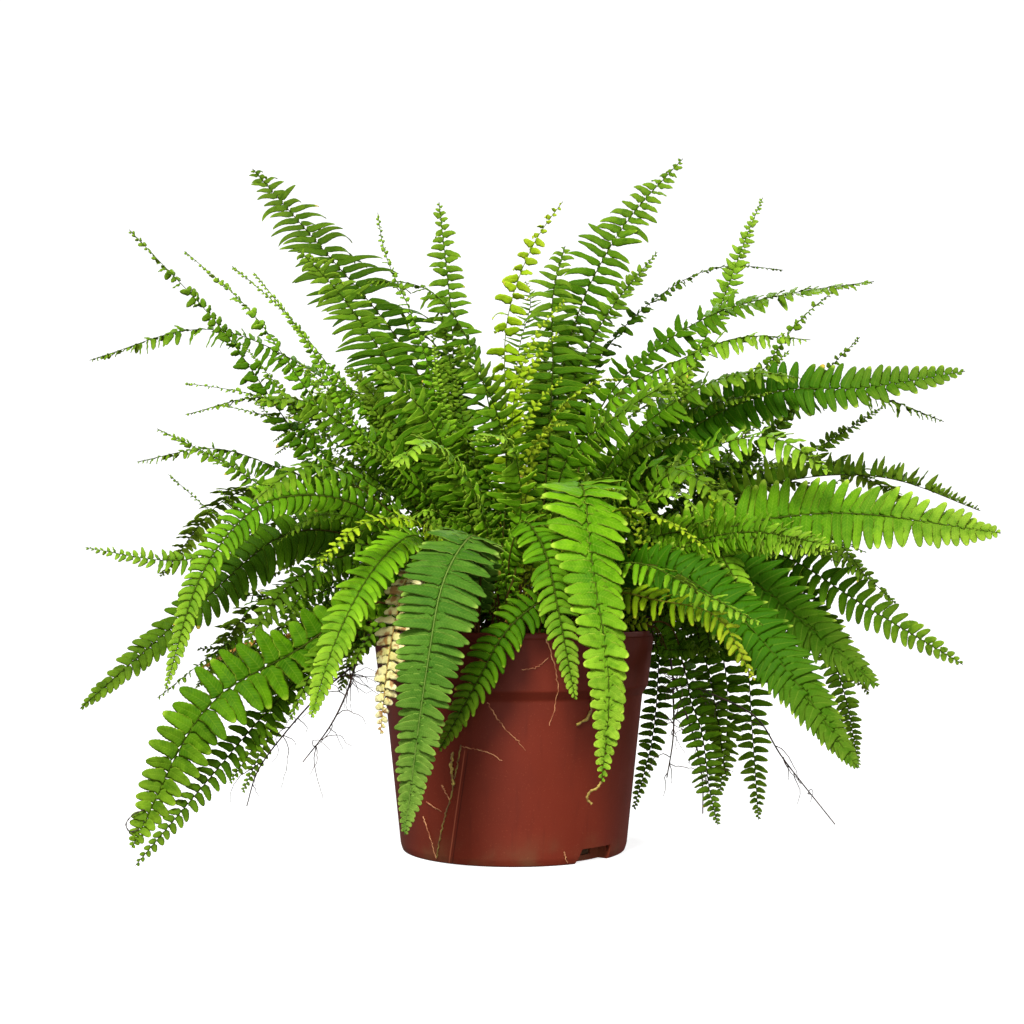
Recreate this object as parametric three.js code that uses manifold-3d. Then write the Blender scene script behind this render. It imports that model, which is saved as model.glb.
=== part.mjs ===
// A Boston fern in a red-brown plastic nursery pot.
// Millimetres, +Z up, origin at the middle of the pot's base, front towards -Y.

import * as THREE from 'three';
import Module from 'manifold-3d';
import { mergeVertices } from 'three/addons/utils/BufferGeometryUtils.js';

const wasm = await Module();
wasm.setup();

// ---------------------------------------------------------------- driving dimensions

const POT_HEIGHT = 163;
const RIM_RADIUS = 105;
const BAND_RADIUS = 101.1;
const BAND_BOTTOM = 123.5;
const BODY_TOP_RADIUS = 95.3;
const BODY_TOP = 119;
const BASE_RADIUS = 84.3;
const WALL = 2;
const FLOOR = 3;
const FOOT_HEIGHT = 5;
const FOOT_SLANT = 4;
const EDGE_ROUND = 1.5;
const RIM_ROUND = 0.8;
const POT_SIDES = 40;
const SOIL_SIDES = 20;

const NOTCH_ANGLES = [-44, 136];
const NOTCH_HALF_ANGLE = 12;
const NOTCH_SIDE_ANGLE = 1.6;
const NOTCH_DEPTH = 10;
const NOTCH_HEIGHT = 10.5;
const DRAIN_HALF_ANGLE = 5;

const SOIL_EDGE_HEIGHT = 150;
const SOIL_MOUND = 7;
const SOIL_RADIUS = 99;
const SOIL_SHOULDER = 0.6;
const GAP = 0.3;

const STIPE_RADIUS = 1.6;
const TIP_RIB_RADIUS = 0.7;
const STIPE_THICKNESS = 2;
const BLADE_THICKNESS = 0.8;
const HOLE_DEPTH = 12;
const HOLE_RADIUS = 3.4;
const HOLE_SIDES = 6;
const CROWN_RADIUS = 4.5;
const CROWN_RISE = 3;
const CROWN_SPREAD = 2.2;
const PEG_ABOVE = 20;

const RIB_SAMPLES = 48;
const CROWN_SAMPLES = 4;
const RIB_CLEARANCE = 6;
const LEAF_CLEARANCE = 3.3;
const LEAF_SAMPLE_STEP = 3;
const FLOOR_CLEARANCE = 4;
const RIM_CLEARANCE = 5;
const LEAF_RIM_CLEARANCE = 2.5;
const CLIMB_FROM = 28;
const CLIMB_TO = 8;
const BEND_ROUNDS = 40;
const FRAME_STEP = 0.03;

const LEAFLET_SWEEP = 0.3;
const LEAFLET_LIFTS = [-0.15, 0.15, -0.45, 0.45, -0.75, 0.75];
const LEAFLET_LENGTHS = [1, 0.75, 0.5];
const SLENDER_WIDTH = 14.5;
const SLENDER_FROM = 0.5;
const LAST_STATION = 0.985;
const BARE_SHARE = 0.26;

const RUNNER_RADIUS = 0.9;
const RUNNER_STEPS = 9;
const RUNNER_KNOT = 3;

// ---------------------------------------------------------------- materials

function plantMaterial(color, roughness) {
  return new THREE.MeshStandardMaterial({ color, roughness, metalness: 0 });
}

const TONES = {
  light: plantMaterial(0x6fae2a, 0.5),
  mid: plantMaterial(0x4a8f1c, 0.5),
  dark: plantMaterial(0x2a6410, 0.5),
  bluish: plantMaterial(0x3c7d3a, 0.5),
  lime: plantMaterial(0xa6d02f, 0.5),
  yellowed: plantMaterial(0x9fb23a, 0.55),
  dry: plantMaterial(0xc9a24a, 0.7),
  cream: plantMaterial(0xd9c98a, 0.7),
};
const POT_PLASTIC = plantMaterial(0x7b2e22, 0.45);
const SOIL = plantMaterial(0x4a3020, 0.95);
const RUNNER = plantMaterial(0x2a1d18, 0.6);

// ---------------------------------------------------------------- the fronds
//
// Each clump grows from one crown at [x, y] in the soil. Its fronds are rows of
// [route points from the crown out to the tip, half width, leaflet pairs, turn].
// turn leans the blade's upper face from straight up (0) to straight at the front (1).

const CLUMPS = [
  ['frond_01', 'dark', [-18, 37], [
    [[[-45, 60, 290], [-90, 80, 390], [-155, 95, 470], [-215, 110, 540]], 42, 9, 0.9],
  ]],
  ['frond_02', 'mid', [-40, 21], [
    [[[-55, 20, 300], [-95, 10, 365], [-135, 0, 420], [-160, -10, 445]], 30, 6, 0.8],
    [[[-70, -10, 275], [-120, -30, 310], [-155, -45, 330], [-185, -55, 325]], 22, 5, 0.6],
  ]],
  ['frond_03', 'light', [-30, 2], [
    [[[-55, -10, 325], [-75, -15, 395], [-95, -20, 440], [-100, -20, 470]], 9, 5, 0.6],
    [[[-80, 22, 290], [-130, 20, 350], [-175, 20, 405], [-215, 20, 440]], 7, 4, 0.5],
    [[[-80, 2, 265], [-145, 0, 330], [-200, 10, 405], [-250, 15, 450]], 11, 5, 0.5],
  ]],
  ['frond_04', 'mid', [-5, 19], [
    [[[-30, 40, 280], [-45, 55, 345], [-50, 70, 415], [-60, 80, 505]], 22, 7, 0.7],
    [[[-20, 20, 340], [-50, 30, 410], [-75, 40, 430], [-115, 50, 435]], 20, 5, 0],
  ]],
  ['frond_05', 'lime', [4, -7], [
    [[[-5, -20, 315], [-5, -25, 390], [15, -35, 445], [35, -50, 470]], 14, 7, 0.8],
  ]],
  ['frond_06', 'dark', [5, 58], [
    [[[0, 90, 315], [5, 105, 395], [15, 110, 430], [10, 120, 450]], 19, 6, 0.6],
  ]],
  ['frond_07', 'mid', [16, 11], [
    [[[25, 15, 285], [30, 25, 365], [30, 35, 420], [40, 40, 460]], 34, 7, 0.9],
  ]],
  ['frond_08', 'mid', [21, 32], [
    [[[30, 50, 310], [50, 70, 410], [90, 95, 490], [140, 115, 550]], 29, 9, 0.9],
  ]],
  ['frond_09', 'dark', [37, 42], [
    [[[60, 70, 360], [115, 95, 430], [170, 110, 460], [225, 125, 460]], 11, 7, 0.3],
  ]],
  ['frond_10', 'light', [35, 19], [
    [[[105, 30, 315], [155, 40, 400], [180, 45, 465], [195, 50, 500]], 14, 6, 0.6],
  ]],
  ['frond_11', 'mid', [30, -4], [
    [[[65, 10, 330], [140, 0, 395], [200, -20, 410], [260, -40, 415]], 22, 6, 0.5],
    [[[70, -30, 285], [120, -50, 330], [160, -65, 345], [200, -75, 340]], 24, 5, 0.5],
  ]],
  ['frond_12', 'mid', [53, 19], [
    [[[135, 30, 300], [185, 62, 350], [230, 80, 410], [265, 90, 440]], 12, 5, 0.7],
  ]],
  ['frond_13', 'light', [48, -7], [
    [[[105, -20, 290], [185, -40, 335], [245, -60, 335], [315, -75, 345]], 24, 7, 0.4],
    [[[65, -25, 325], [115, -50, 355], [160, -70, 370], [205, -85, 365]], 18, 5, 0],
  ]],
  ['frond_14', 'dark', [65, 9], [
    [[[135, 20, 260], [190, 30, 305], [240, 40, 360], [270, 45, 390]], 12, 5, 0.7],
    [[[140, 20, 250], [205, 30, 245], [260, 40, 215], [300, 45, 180]], 15, 5, 0.7],
  ]],
  ['frond_15', 'dark', [63, 32], [
    [[[130, 40, 295], [200, 60, 340], [285, 80, 350], [350, 95, 330]], 19, 7, 0],
    [[[150, 70, 255], [200, 85, 280], [250, 100, 310], [305, 110, 345]], 13, 5, 0.6],
  ]],
  ['frond_16', 'light', [58, -35], [
    [[[90, -55, 215], [145, -75, 235], [220, -95, 245], [325, -120, 230]], 28, 8, 0.85],
    [[[100, -72, 212], [155, -88, 203], [200, -100, 168], [245, -112, 127]], 27, 6, 0.9],
  ]],
  ['frond_17', 'dark', [70, -5], [
    [[[140, 0, 250], [210, -10, 275], [275, -20, 275], [340, -30, 250]], 20, 6, 0],
    [[[125, 0, 230], [185, -10, 250], [225, -20, 240], [255, -30, 205]], 18, 5, 0.5],
    [[[155, -10, 220], [210, -20, 195], [240, -30, 120], [250, -35, 65]], 15, 5, 0.9],
  ]],
  ['frond_18', 'mid', [67, -19], [
    [[[130, -30, 220], [185, -45, 220], [250, -60, 180], [315, -70, 140]], 19, 7, 0.9],
  ]],
  ['frond_19', 'light', [42, -53], [
    [[[85, -95, 210], [140, -122, 183], [178, -150, 138], [219, -165, 78]], 25, 6, 0.8],
    [[[50, -110, 200], [80, -140, 210], [120, -165, 190], [155, -185, 170]], 14, 5, 0],
  ]],
  ['frond_20', 'lime', [12, -42], [
    [[[40, -90, 225], [70, -130, 245], [100, -160, 235], [125, -175, 215]], 9, 5, 0],
    [[[10, -70, 270], [30, -85, 315], [55, -95, 335], [80, -105, 335]], 9, 5, 0.1],
  ]],
  ['frond_21', 'light', [40, -30], [
    [[[90, -60, 225], [130, -90, 230], [155, -120, 185], [170, -130, 160]], 17, 4, 0.6],
    [[[90, -50, 255], [135, -85, 290], [175, -110, 295], [210, -125, 270]], 24, 5, 0.5],
  ]],
  ['frond_22', 'yellowed', [35, -67], [
    [[[60, -105, 190], [95, -135, 185], [130, -160, 175], [150, -180, 135]], 14, 5, 0.5],
  ]],
  ['frond_23', 'light', [21, -25], [
    [[[30, -65, 240], [45, -115, 265], [50, -155, 210], [60, -175, 130], [55, -175, 70]], 31, 10, 0.5],
  ]],
  ['frond_24', 'light', [-7, -42], [
    [[[5, -90, 240], [20, -120, 220], [30, -135, 175], [40, -140, 120]], 17, 6, 0.5],
    [[[-25, -90, 255], [-45, -115, 285], [-60, -130, 290], [-80, -150, 270]], 20, 4, 0.4],
    [[[5, -90, 260], [-5, -110, 295], [-25, -135, 290]], 18, 4, 0.4],
  ]],
  ['frond_25', 'bluish', [-25, -49], [
    [[[-25, -105, 230], [-45, -150, 200], [-55, -165, 145], [-70, -160, 35]], 30, 10, 0.5],
  ]],
  ['frond_26', 'light', [-42, -35], [
    [[[-65, -90, 230], [-90, -125, 210], [-115, -150, 160], [-130, -160, 110]], 18, 7, 0.6],
  ]],
  ['frond_27', 'mid', [-56, -26], [
    [[[-60, -66, 212], [-110, -88, 185], [-140, -105, 130], [-150, -115, 105]], 14, 5, 0.6],
    [[[-82, -55, 250], [-120, -85, 275], [-145, -105, 275], [-175, -120, 250]], 22, 5, 0.4],
  ]],
  ['frond_28', 'lime', [-36, -58], [
    [[[-55, -100, 230], [-80, -130, 240], [-105, -155, 230], [-125, -170, 205]], 9, 5, 0.6],
  ]],
  ['frond_29', 'mid', [18, -62], [
    [[[20, -110, 185], [-5, -125, 165], [-25, -125, 130], [-50, -120, 85]], 17, 6, 0.7],
  ]],
  ['frond_30', 'dry', [0, -74], [
    [[[0, -110, 175], [-20, -115, 150], [-35, -110, 120]], 4, 3, 0.4],
  ]],
  ['frond_31', 'cream', [-51, -55], [
    [[[-70, -95, 205], [-80, -110, 170], [-85, -115, 140], [-90, -110, 95]], 13, 6, 0.4],
  ]],
  ['frond_32', 'dry', [-74, -21], [
    [[[-105, -30, 185], [-145, -40, 165], [-190, -50, 155], [-225, -60, 135]], 6, 5, 0],
  ]],
  ['frond_33', 'mid', [-63, 4], [
    [[[-100, -10, 200], [-155, -25, 185], [-205, -40, 155], [-255, -50, 115]], 8, 5, 0],
    [[[-95, 0, 255], [-160, -10, 255], [-210, -20, 285], [-260, -30, 310]], 13, 6, 0.5],
  ]],
  ['frond_34', 'mid', [-67, -39], [
    [[[-95, -60, 185], [-150, -90, 150], [-205, -110, 115], [-255, -120, 20]], 25, 8, 0.85],
  ]],
  ['frond_35', 'dark', [-76, -7], [
    [[[-105, -40, 170], [-165, -75, 115], [-210, -105, 60], [-250, -130, 10]], 14, 6, 0.8],
    [[[-90, -25, 215], [-130, -45, 215], [-165, -60, 190], [-190, -70, 150]], 18, 5, 0.6],
  ]],
  ['frond_36', 'mid', [-67, 19], [
    [[[-115, 20, 185], [-165, 5, 150], [-185, -10, 90], [-210, -15, 50]], 14, 4, 0.8],
    [[[-120, 30, 180], [-165, 20, 135], [-185, 15, 85], [-205, 10, 40]], 12, 4, 0.8],
    [[[-95, 35, 260], [-175, 50, 285], [-235, 60, 305], [-300, 70, 295]], 16, 4, 0],
  ]],
  ['frond_37', 'dark', [-60, -11], [
    [[[-105, -15, 225], [-160, -35, 235], [-220, -60, 185], [-300, -85, 110]], 26, 8, 0.85],
  ]],
  ['frond_38', 'light', [-49, -19], [
    [[[-105, -45, 250], [-170, -75, 255], [-210, -95, 210], [-235, -110, 125]], 16, 7, 0.7],
  ]],
  ['frond_39', 'light', [-79, 11], [
    [[[-105, 20, 250], [-180, 25, 235], [-255, 20, 215], [-325, 15, 225]], 14, 6, 0.7],
  ]],
  ['frond_40', 'mid', [-53, 37], [
    [[[-75, 60, 305], [-140, 75, 355], [-245, 90, 405], [-345, 95, 380]], 18, 7, 0],
    [[[-115, 50, 245], [-175, 60, 230], [-225, 65, 245], [-275, 70, 285]], 6, 5, 0.5],
  ]],
  ['frond_41', 'light', [-51, 21], [
    [[[-90, 50, 285], [-155, 65, 330], [-210, 75, 350], [-265, 85, 360]], 10, 5, 0.5],
  ]],
  ['frond_42', 'mid', [-44, -5], [
    [[[-85, -20, 245], [-145, -30, 290], [-210, -40, 380], [-275, -50, 450]], 14, 8, 0.5],
  ]],
  ['frond_44', 'lime', [55, -23], [
    [[[120, -60, 225], [140, -80, 250], [130, -80, 275], [130, -85, 295]], 6, 4, 0.5],
  ]],
  ['frond_45', 'dark', [74, -32], [
    [[[110, -40, 170], [125, -30, 130], [135, -25, 80], [150, -20, 20]], 16, 5, 0.9],
    [[[125, -10, 180], [143, -5, 140], [152, 0, 100], [160, 5, 50]], 14, 4, 0.9],
  ]],
  ['frond_46', 'mid', [77, 14], [
    [[[135, 20, 185], [160, 30, 145], [165, 35, 90], [160, 40, 35]], 17, 5, 0.9],
    [[[145, 40, 195], [180, 60, 155], [190, 70, 80], [195, 70, 10]], 18, 5, 0.9],
  ]],
  ['frond_47', 'dark', [65, 46], [
    [[[115, 60, 180], [115, 65, 135], [110, 65, 75], [95, 60, 20]], 12, 4, 0.9],
    [[[150, 75, 195], [235, 110, 185], [300, 140, 105]], 20, 4, -0.3],
    [[[105, 120, 205], [155, 195, 195], [190, 250, 120]], 22, 4, -0.3],
  ]],
  ['frond_48', 'mid', [-14, -19], [
    [[[-45, -30, 275], [-60, -50, 315], [-100, -70, 350]], 24, 5, 0.6],
    [[[-5, -50, 280], [-15, -70, 325], [-40, -95, 360]], 22, 5, 0.6],
  ]],
  ['frond_49', 'mid', [28, -40], [
    [[[35, -55, 280], [75, -85, 315], [120, -120, 340]], 26, 5, 0.6],
    [[[60, -80, 240], [90, -110, 275], [115, -125, 270], [145, -140, 245]], 20, 5, 0.5],
  ]],
  ['frond_50', 'mid', [49, 53], [
    [[[145, 92, 262], [255, 125, 300], [345, 155, 265]], 24, 5, -0.3],
    [[[100, 120, 280], [170, 200, 310], [235, 275, 255]], 26, 5, -0.3],
  ]],
  ['frond_51', 'mid', [7, 74], [
    [[[50, 140, 290], [85, 235, 305], [115, 325, 225]], 26, 5, -0.3],
    [[[-30, 130, 290], [-55, 225, 310], [-75, 320, 240]], 26, 5, -0.3],
    [[[10, 135, 200], [20, 200, 190], [25, 260, 110]], 22, 4, -0.3],
  ]],
  ['frond_52', 'light', [2, 42], [
    [[[20, 110, 330], [35, 200, 385], [50, 290, 370]], 24, 4, -0.3],
    [[[-75, 115, 320], [-145, 185, 365], [-210, 240, 350]], 22, 4, -0.3],
    [[[75, 115, 325], [140, 190, 370], [195, 260, 350]], 22, 4, -0.3],
  ]],
  ['frond_53', 'mid', [-37, 55], [
    [[[-85, 130, 270], [-145, 205, 290], [-205, 285, 225]], 26, 5, -0.3],
    [[[-140, 90, 260], [-235, 140, 275], [-310, 190, 205]], 24, 5, -0.3],
  ]],
  ['frond_54', 'dark', [-56, 53], [
    [[[-85, 125, 200], [-125, 195, 185], [-160, 250, 100]], 22, 4, -0.3],
    [[[-140, 85, 200], [-210, 120, 185], [-270, 150, 110]], 20, 4, -0.3],
  ]],
];

// Wiry runners: [name, root, the stem's route over the rim to its knot, routes on from there].

const RUNNERS = [
  ['runners_right', [82, -30], [[98, -34, 173], [110, -34, 160], [116, -30, 128]], [
    [[117, -22, 85], [113, -16, 54]],
    [[133, -24, 81], [139, -18, 51], [140, -12, 27]],
    [[136, -26, 120], [180, -8, 98], [202, 6, 67], [245, 20, 14]],
  ]],
  ['runners_left', [-76, -50], [[-88, -56, 173], [-106, -60, 156], [-112, -60, 140]], [
    [[-134, -56, 122], [-162, -50, 92], [-184, -46, 62], [-192, -44, 37]],
    [[-118, -62, 120], [-130, -60, 96], [-150, -56, 70]],
  ]],
];

// ---------------------------------------------------------------- solids

function toManifold(geometry) {
  const bare = geometry.clone();
  bare.deleteAttribute('normal');
  bare.deleteAttribute('uv');
  const merged = mergeVertices(bare, 1e-4);
  const index = merged.index.array;
  const triangles = [];
  for (let i = 0; i < index.length; i += 3) {
    const [a, b, c] = [index[i], index[i + 1], index[i + 2]];
    if (a !== b && b !== c && c !== a) triangles.push(a, b, c);
  }
  return new wasm.Manifold(new wasm.Mesh({
    numProp: 3,
    vertProperties: new Float32Array(merged.attributes.position.array),
    triVerts: new Uint32Array(triangles),
  }));
}

function toGeometry(solid) {
  const mesh = solid.getMesh();
  const geometry = new THREE.BufferGeometry();
  geometry.setAttribute('position', new THREE.BufferAttribute(mesh.vertProperties, 3));
  geometry.setIndex(new THREE.BufferAttribute(mesh.triVerts, 1));
  return geometry;
}

// The outside skin of a fused solid: loose scraps go, and a hollow that fusing sealed is filled.
function outerSkin(solid) {
  const { vertProperties, triVerts } = solid.getMesh();
  const parent = Array.from({ length: vertProperties.length / 3 }, (unused, i) => i);
  const rootOf = (i) => {
    let root = i;
    while (parent[root] !== root) root = parent[root];
    parent[i] = root;
    return root;
  };
  for (let i = 0; i < triVerts.length; i += 3) {
    parent[rootOf(triVerts[i + 1])] = rootOf(triVerts[i]);
    parent[rootOf(triVerts[i + 2])] = rootOf(triVerts[i]);
  }
  const volumes = new Map();
  const corner = (i) => new THREE.Vector3().fromArray(vertProperties, triVerts[i] * 3);
  for (let i = 0; i < triVerts.length; i += 3) {
    const root = rootOf(triVerts[i]);
    const volume = corner(i).dot(corner(i + 1).cross(corner(i + 2)));
    volumes.set(root, (volumes.get(root) || 0) + volume);
  }
  const [largest] = [...volumes.entries()].reduce((a, b) => (b[1] > a[1] ? b : a));
  const kept = [];
  for (let i = 0; i < triVerts.length; i += 3) {
    if (rootOf(triVerts[i]) === largest) kept.push(...triVerts.slice(i, i + 3));
  }
  const geometry = new THREE.BufferGeometry();
  geometry.setAttribute('position', new THREE.BufferAttribute(vertProperties, 3));
  geometry.setIndex(kept);
  return geometry;
}

function turned(profile, sides) {
  const points = profile.map(([radius, height]) => new THREE.Vector2(radius, height));
  return new THREE.LatheGeometry(points, sides).rotateX(Math.PI / 2);
}

function sector(inner, outer, middleDegrees, halfDegrees, bottom, top) {
  const from = THREE.MathUtils.degToRad(middleDegrees - halfDegrees);
  const to = THREE.MathUtils.degToRad(middleDegrees + halfDegrees);
  const shape = new THREE.Shape();
  shape.absarc(0, 0, outer, from, to, false);
  shape.absarc(0, 0, inner, to, from, true);
  const block = new THREE.ExtrudeGeometry(shape, {
    depth: top - bottom, bevelEnabled: false, curveSegments: 2,
  });
  return toManifold(block.translate(0, 0, bottom));
}

function peg(x, y, bottom, top, radius, sides) {
  const cylinder = new THREE.CylinderGeometry(radius, radius, top - bottom, sides);
  return toManifold(cylinder.rotateX(Math.PI / 2).translate(x, y, (bottom + top) / 2));
}

// ---------------------------------------------------------------- pot and soil

function soilHeight(x, y) {
  const share = Math.hypot(x, y) / SOIL_RADIUS;
  return SOIL_EDGE_HEIGHT + SOIL_MOUND * (1 - share * share);
}

function potSolid() {
  const profile = [
    [0, 0], [BASE_RADIUS - FOOT_SLANT, 0], [BASE_RADIUS - 1, EDGE_ROUND], [BASE_RADIUS, FOOT_HEIGHT],
    [BODY_TOP_RADIUS, BODY_TOP], [BAND_RADIUS - 0.4, BAND_BOTTOM - EDGE_ROUND], [BAND_RADIUS, BAND_BOTTOM],
    [RIM_RADIUS, POT_HEIGHT - EDGE_ROUND], [RIM_RADIUS - RIM_ROUND, POT_HEIGHT],
    [RIM_RADIUS - WALL - RIM_ROUND, POT_HEIGHT],
    [BAND_RADIUS - WALL, BAND_BOTTOM], [BODY_TOP_RADIUS - WALL, BODY_TOP],
    [BASE_RADIUS - WALL, FLOOR + 3], [BASE_RADIUS - WALL - 3, FLOOR], [0, FLOOR],
  ];
  let pot = toManifold(turned(profile, POT_SIDES));
  const outer = BASE_RADIUS - WALL - RIM_ROUND;
  const inner = BASE_RADIUS - NOTCH_DEPTH;
  const boxHalf = NOTCH_HALF_ANGLE + NOTCH_SIDE_ANGLE;
  for (const angle of NOTCH_ANGLES) {
    pot = pot.add(sector(inner - WALL, outer, angle, boxHalf, 1, NOTCH_HEIGHT + WALL));
    pot = pot.subtract(sector(inner, RIM_RADIUS, angle, NOTCH_HALF_ANGLE, -1, NOTCH_HEIGHT));
    pot = pot.subtract(
      sector(inner - WALL - 1, inner + 1, angle, DRAIN_HALF_ANGLE, FLOOR + 1, NOTCH_HEIGHT - 2),
    );
  }
  return pot;
}

function soilSolid() {
  const clear = WALL + GAP;
  const rings = [0, SOIL_SHOULDER, 1].map((share) => share * SOIL_RADIUS);
  const top = rings.map((radius) => [radius, soilHeight(radius, 0)]).reverse();
  const profile = [
    [0, FLOOR + GAP], [BASE_RADIUS - clear - 3.2, FLOOR + GAP], [BASE_RADIUS - clear, FLOOR + 3.2],
    [BODY_TOP_RADIUS - clear, BODY_TOP + GAP], [BAND_RADIUS - clear - 0.6, BAND_BOTTOM + 0.5], ...top,
  ];
  let soil = toManifold(turned(profile, SOIL_SIDES));
  const inner = BASE_RADIUS - NOTCH_DEPTH - WALL - GAP;
  const half = NOTCH_HALF_ANGLE + NOTCH_SIDE_ANGLE + 0.4;
  for (const angle of NOTCH_ANGLES) {
    soil = soil.subtract(sector(inner, RIM_RADIUS, angle, half, 0, NOTCH_HEIGHT + WALL + GAP));
  }
  for (const [, , [x, y], fronds] of CLUMPS) {
    const radius = fronds.length > 1 ? CROWN_RADIUS + 2 * GAP : HOLE_RADIUS;
    const surface = soilHeight(x, y);
    soil = soil.subtract(peg(x, y, surface - HOLE_DEPTH - GAP, surface + PEG_ABOVE, radius, HOLE_SIDES));
  }
  for (const [, [x, y]] of RUNNERS) {
    const surface = soilHeight(x, y);
    soil = soil.subtract(peg(x, y, surface - HOLE_DEPTH - GAP, surface + PEG_ABOVE, HOLE_RADIUS, HOLE_SIDES));
  }
  return soil;
}

// ---------------------------------------------------------------- ribs

// The rib's route: straight up out of its hole, or out of its crown, then a smooth curve to
// the tip. The ribs of one crown stand in a small ring.
function ribPoints([x, y], route, place, count) {
  const surface = soilHeight(x, y);
  const around = (place / count) * 2 * Math.PI;
  const spread = count > 1 ? CROWN_SPREAD : 0;
  const rootX = x + spread * Math.cos(around);
  const rootY = y + spread * Math.sin(around);
  const depth = count > 1 ? CROWN_RISE : HOLE_DEPTH;
  const points = [
    new THREE.Vector3(rootX, rootY, surface - depth),
    new THREE.Vector3(rootX, rootY, surface + CROWN_RISE + 2),
    ...route.map((point) => new THREE.Vector3(...point)),
  ];
  const curve = new THREE.CatmullRomCurve3(points, false, 'centripetal');
  const ground = (depth + CROWN_RISE) / curve.getLength();
  return { points: curve.getSpacedPoints(RIB_SAMPLES), ground };
}

// How far a rib must move to pass over the soil and the rim, or to hang clear outside the pot.
function outOfPot(point) {
  const radius = Math.hypot(point.x, point.y);
  const nearest = RIM_RADIUS + RIM_CLEARANCE;
  const over = POT_HEIGHT + RIM_CLEARANCE;
  if (radius > nearest || point.z > over) return new THREE.Vector3();
  if (point.z < SOIL_EDGE_HEIGHT - 8 || radius > RIM_RADIUS) {
    return new THREE.Vector3(point.x, point.y, 0).multiplyScalar(nearest / radius - 1);
  }
  const climb = THREE.MathUtils.smoothstep(radius, RIM_RADIUS - CLIMB_FROM, RIM_RADIUS - CLIMB_TO);
  const lowest = THREE.MathUtils.lerp(soilHeight(point.x, point.y) + 3, over, climb);
  return new THREE.Vector3(0, 0, Math.max(lowest - point.z, 0));
}

// Ribs that would touch are pushed apart a little at a time, but for those of one crown at their foot.
function bendClear(ribs) {
  const offset = new THREE.Vector3();
  for (let round = 0; round < BEND_ROUNDS; round += 1) {
    const moves = ribs.map((rib) => rib.points.map(outOfPot));
    let touching = 0;
    for (let a = 0; a < ribs.length; a += 1) {
      for (let b = a + 1; b < ribs.length; b += 1) {
        const together = ribs[a].node === ribs[b].node;
        ribs[a].points.forEach((p, i) => {
          ribs[b].points.forEach((q, j) => {
            if (together && Math.min(i, j) < CROWN_SAMPLES) return;
            const distance = offset.subVectors(p, q).length();
            if (distance >= RIB_CLEARANCE) return;
            touching += 1;
            offset.setLength((RIB_CLEARANCE - distance) / 2 + 0.1);
            moves[a][i].add(offset);
            moves[b][j].sub(offset);
          });
        });
      }
    }
    if (touching === 0) break;
    ribs.forEach((rib, a) => {
      if (rib.fixed) return;
      const surface = soilHeight(rib.points[0].x, rib.points[0].y) + CROWN_RISE;
      rib.points.forEach((point, i) => {
        if (point.z < surface && i < RIB_SAMPLES / 4) return;
        const before = moves[a][Math.max(i - 1, 0)];
        const after = moves[a][Math.min(i + 1, RIB_SAMPLES)];
        point.addScaledVector(moves[a][i], 0.6);
        point.addScaledVector(before, 0.2);
        point.addScaledVector(after, 0.2);
        point.z = Math.max(point.z, FLOOR_CLEARANCE + 1);
      });
    });
  }
}

function pointAt(rib, t) {
  const place = THREE.MathUtils.clamp(t, 0, 1) * RIB_SAMPLES;
  const first = Math.min(Math.floor(place), RIB_SAMPLES - 1);
  return new THREE.Vector3().lerpVectors(rib.points[first], rib.points[first + 1], place - first);
}

// The rib's place, the way it runs, its right-hand side and the blade's upper face at t.
function frameAt(rib, t) {
  const point = pointAt(rib, t);
  const along = pointAt(rib, t + FRAME_STEP).sub(pointAt(rib, t - FRAME_STEP)).normalize();
  const face = new THREE.Vector3(0, -rib.turn, 1 - Math.abs(rib.turn));
  const up = face.addScaledVector(along, -face.dot(along)).normalize();
  const right = new THREE.Vector3().crossVectors(along, up);
  return { point, along, right, up };
}

// ---------------------------------------------------------------- room for leaflets

class Room {
  constructor() {
    this.cells = new Map();
  }

  key(x, y, z) {
    return (x + 512) + (y + 512) * 1024 + (z + 512) * 1048576;
  }

  add(point, owner) {
    const cell = [point.x, point.y, point.z].map((v) => Math.floor(v / LEAF_CLEARANCE));
    const key = this.key(...cell);
    if (!this.cells.has(key)) this.cells.set(key, []);
    this.cells.get(key).push([point, owner]);
  }

  isFree(point, owner) {
    if (point.z < FLOOR_CLEARANCE) return false;
    const radius = Math.hypot(point.x, point.y);
    const nearPot = point.z < POT_HEIGHT + 3 && radius < RIM_RADIUS + LEAF_RIM_CLEARANCE;
    if (nearPot) return false;
    const [x, y, z] = [point.x, point.y, point.z].map((v) => Math.floor(v / LEAF_CLEARANCE));
    for (let i = -1; i <= 1; i += 1) {
      for (let j = -1; j <= 1; j += 1) {
        for (let k = -1; k <= 1; k += 1) {
          const found = this.cells.get(this.key(x + i, y + j, z + k)) || [];
          const blocked = found.some(([other, who]) => who !== owner
            && other.distanceTo(point) < LEAF_CLEARANCE);
          if (blocked) return false;
        }
      }
    }
    return true;
  }
}

// ---------------------------------------------------------------- blades

// How long the leaflets are along the blade: short at its foot, longest below the middle.
function leafletShare(u) {
  return Math.sin(Math.PI * (u * 0.94 + 0.06) ** 0.8) ** 0.6;
}

// The outer corners of a leaflet between two places on one side of the rib. A broad one has
// two corners at its end, and one on a slender frond or near a frond's tip has a single one.
function leafletEnd(start, end, side, length, lift, slender) {
  const outward = start.right.clone().multiplyScalar(side * Math.cos(lift));
  outward.addScaledVector(start.up, Math.sin(lift));
  outward.addScaledVector(start.along, LEAFLET_SWEEP).normalize();
  const step = new THREE.Vector3().subVectors(end.edge, start.edge);
  const corner = (reach, share) => start.edge.clone()
    .addScaledVector(outward, length * reach)
    .addScaledVector(step, share);
  return slender ? [corner(1, 0.8)] : [corner(0.88, 0.3), corner(1, 0.85)];
}

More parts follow.
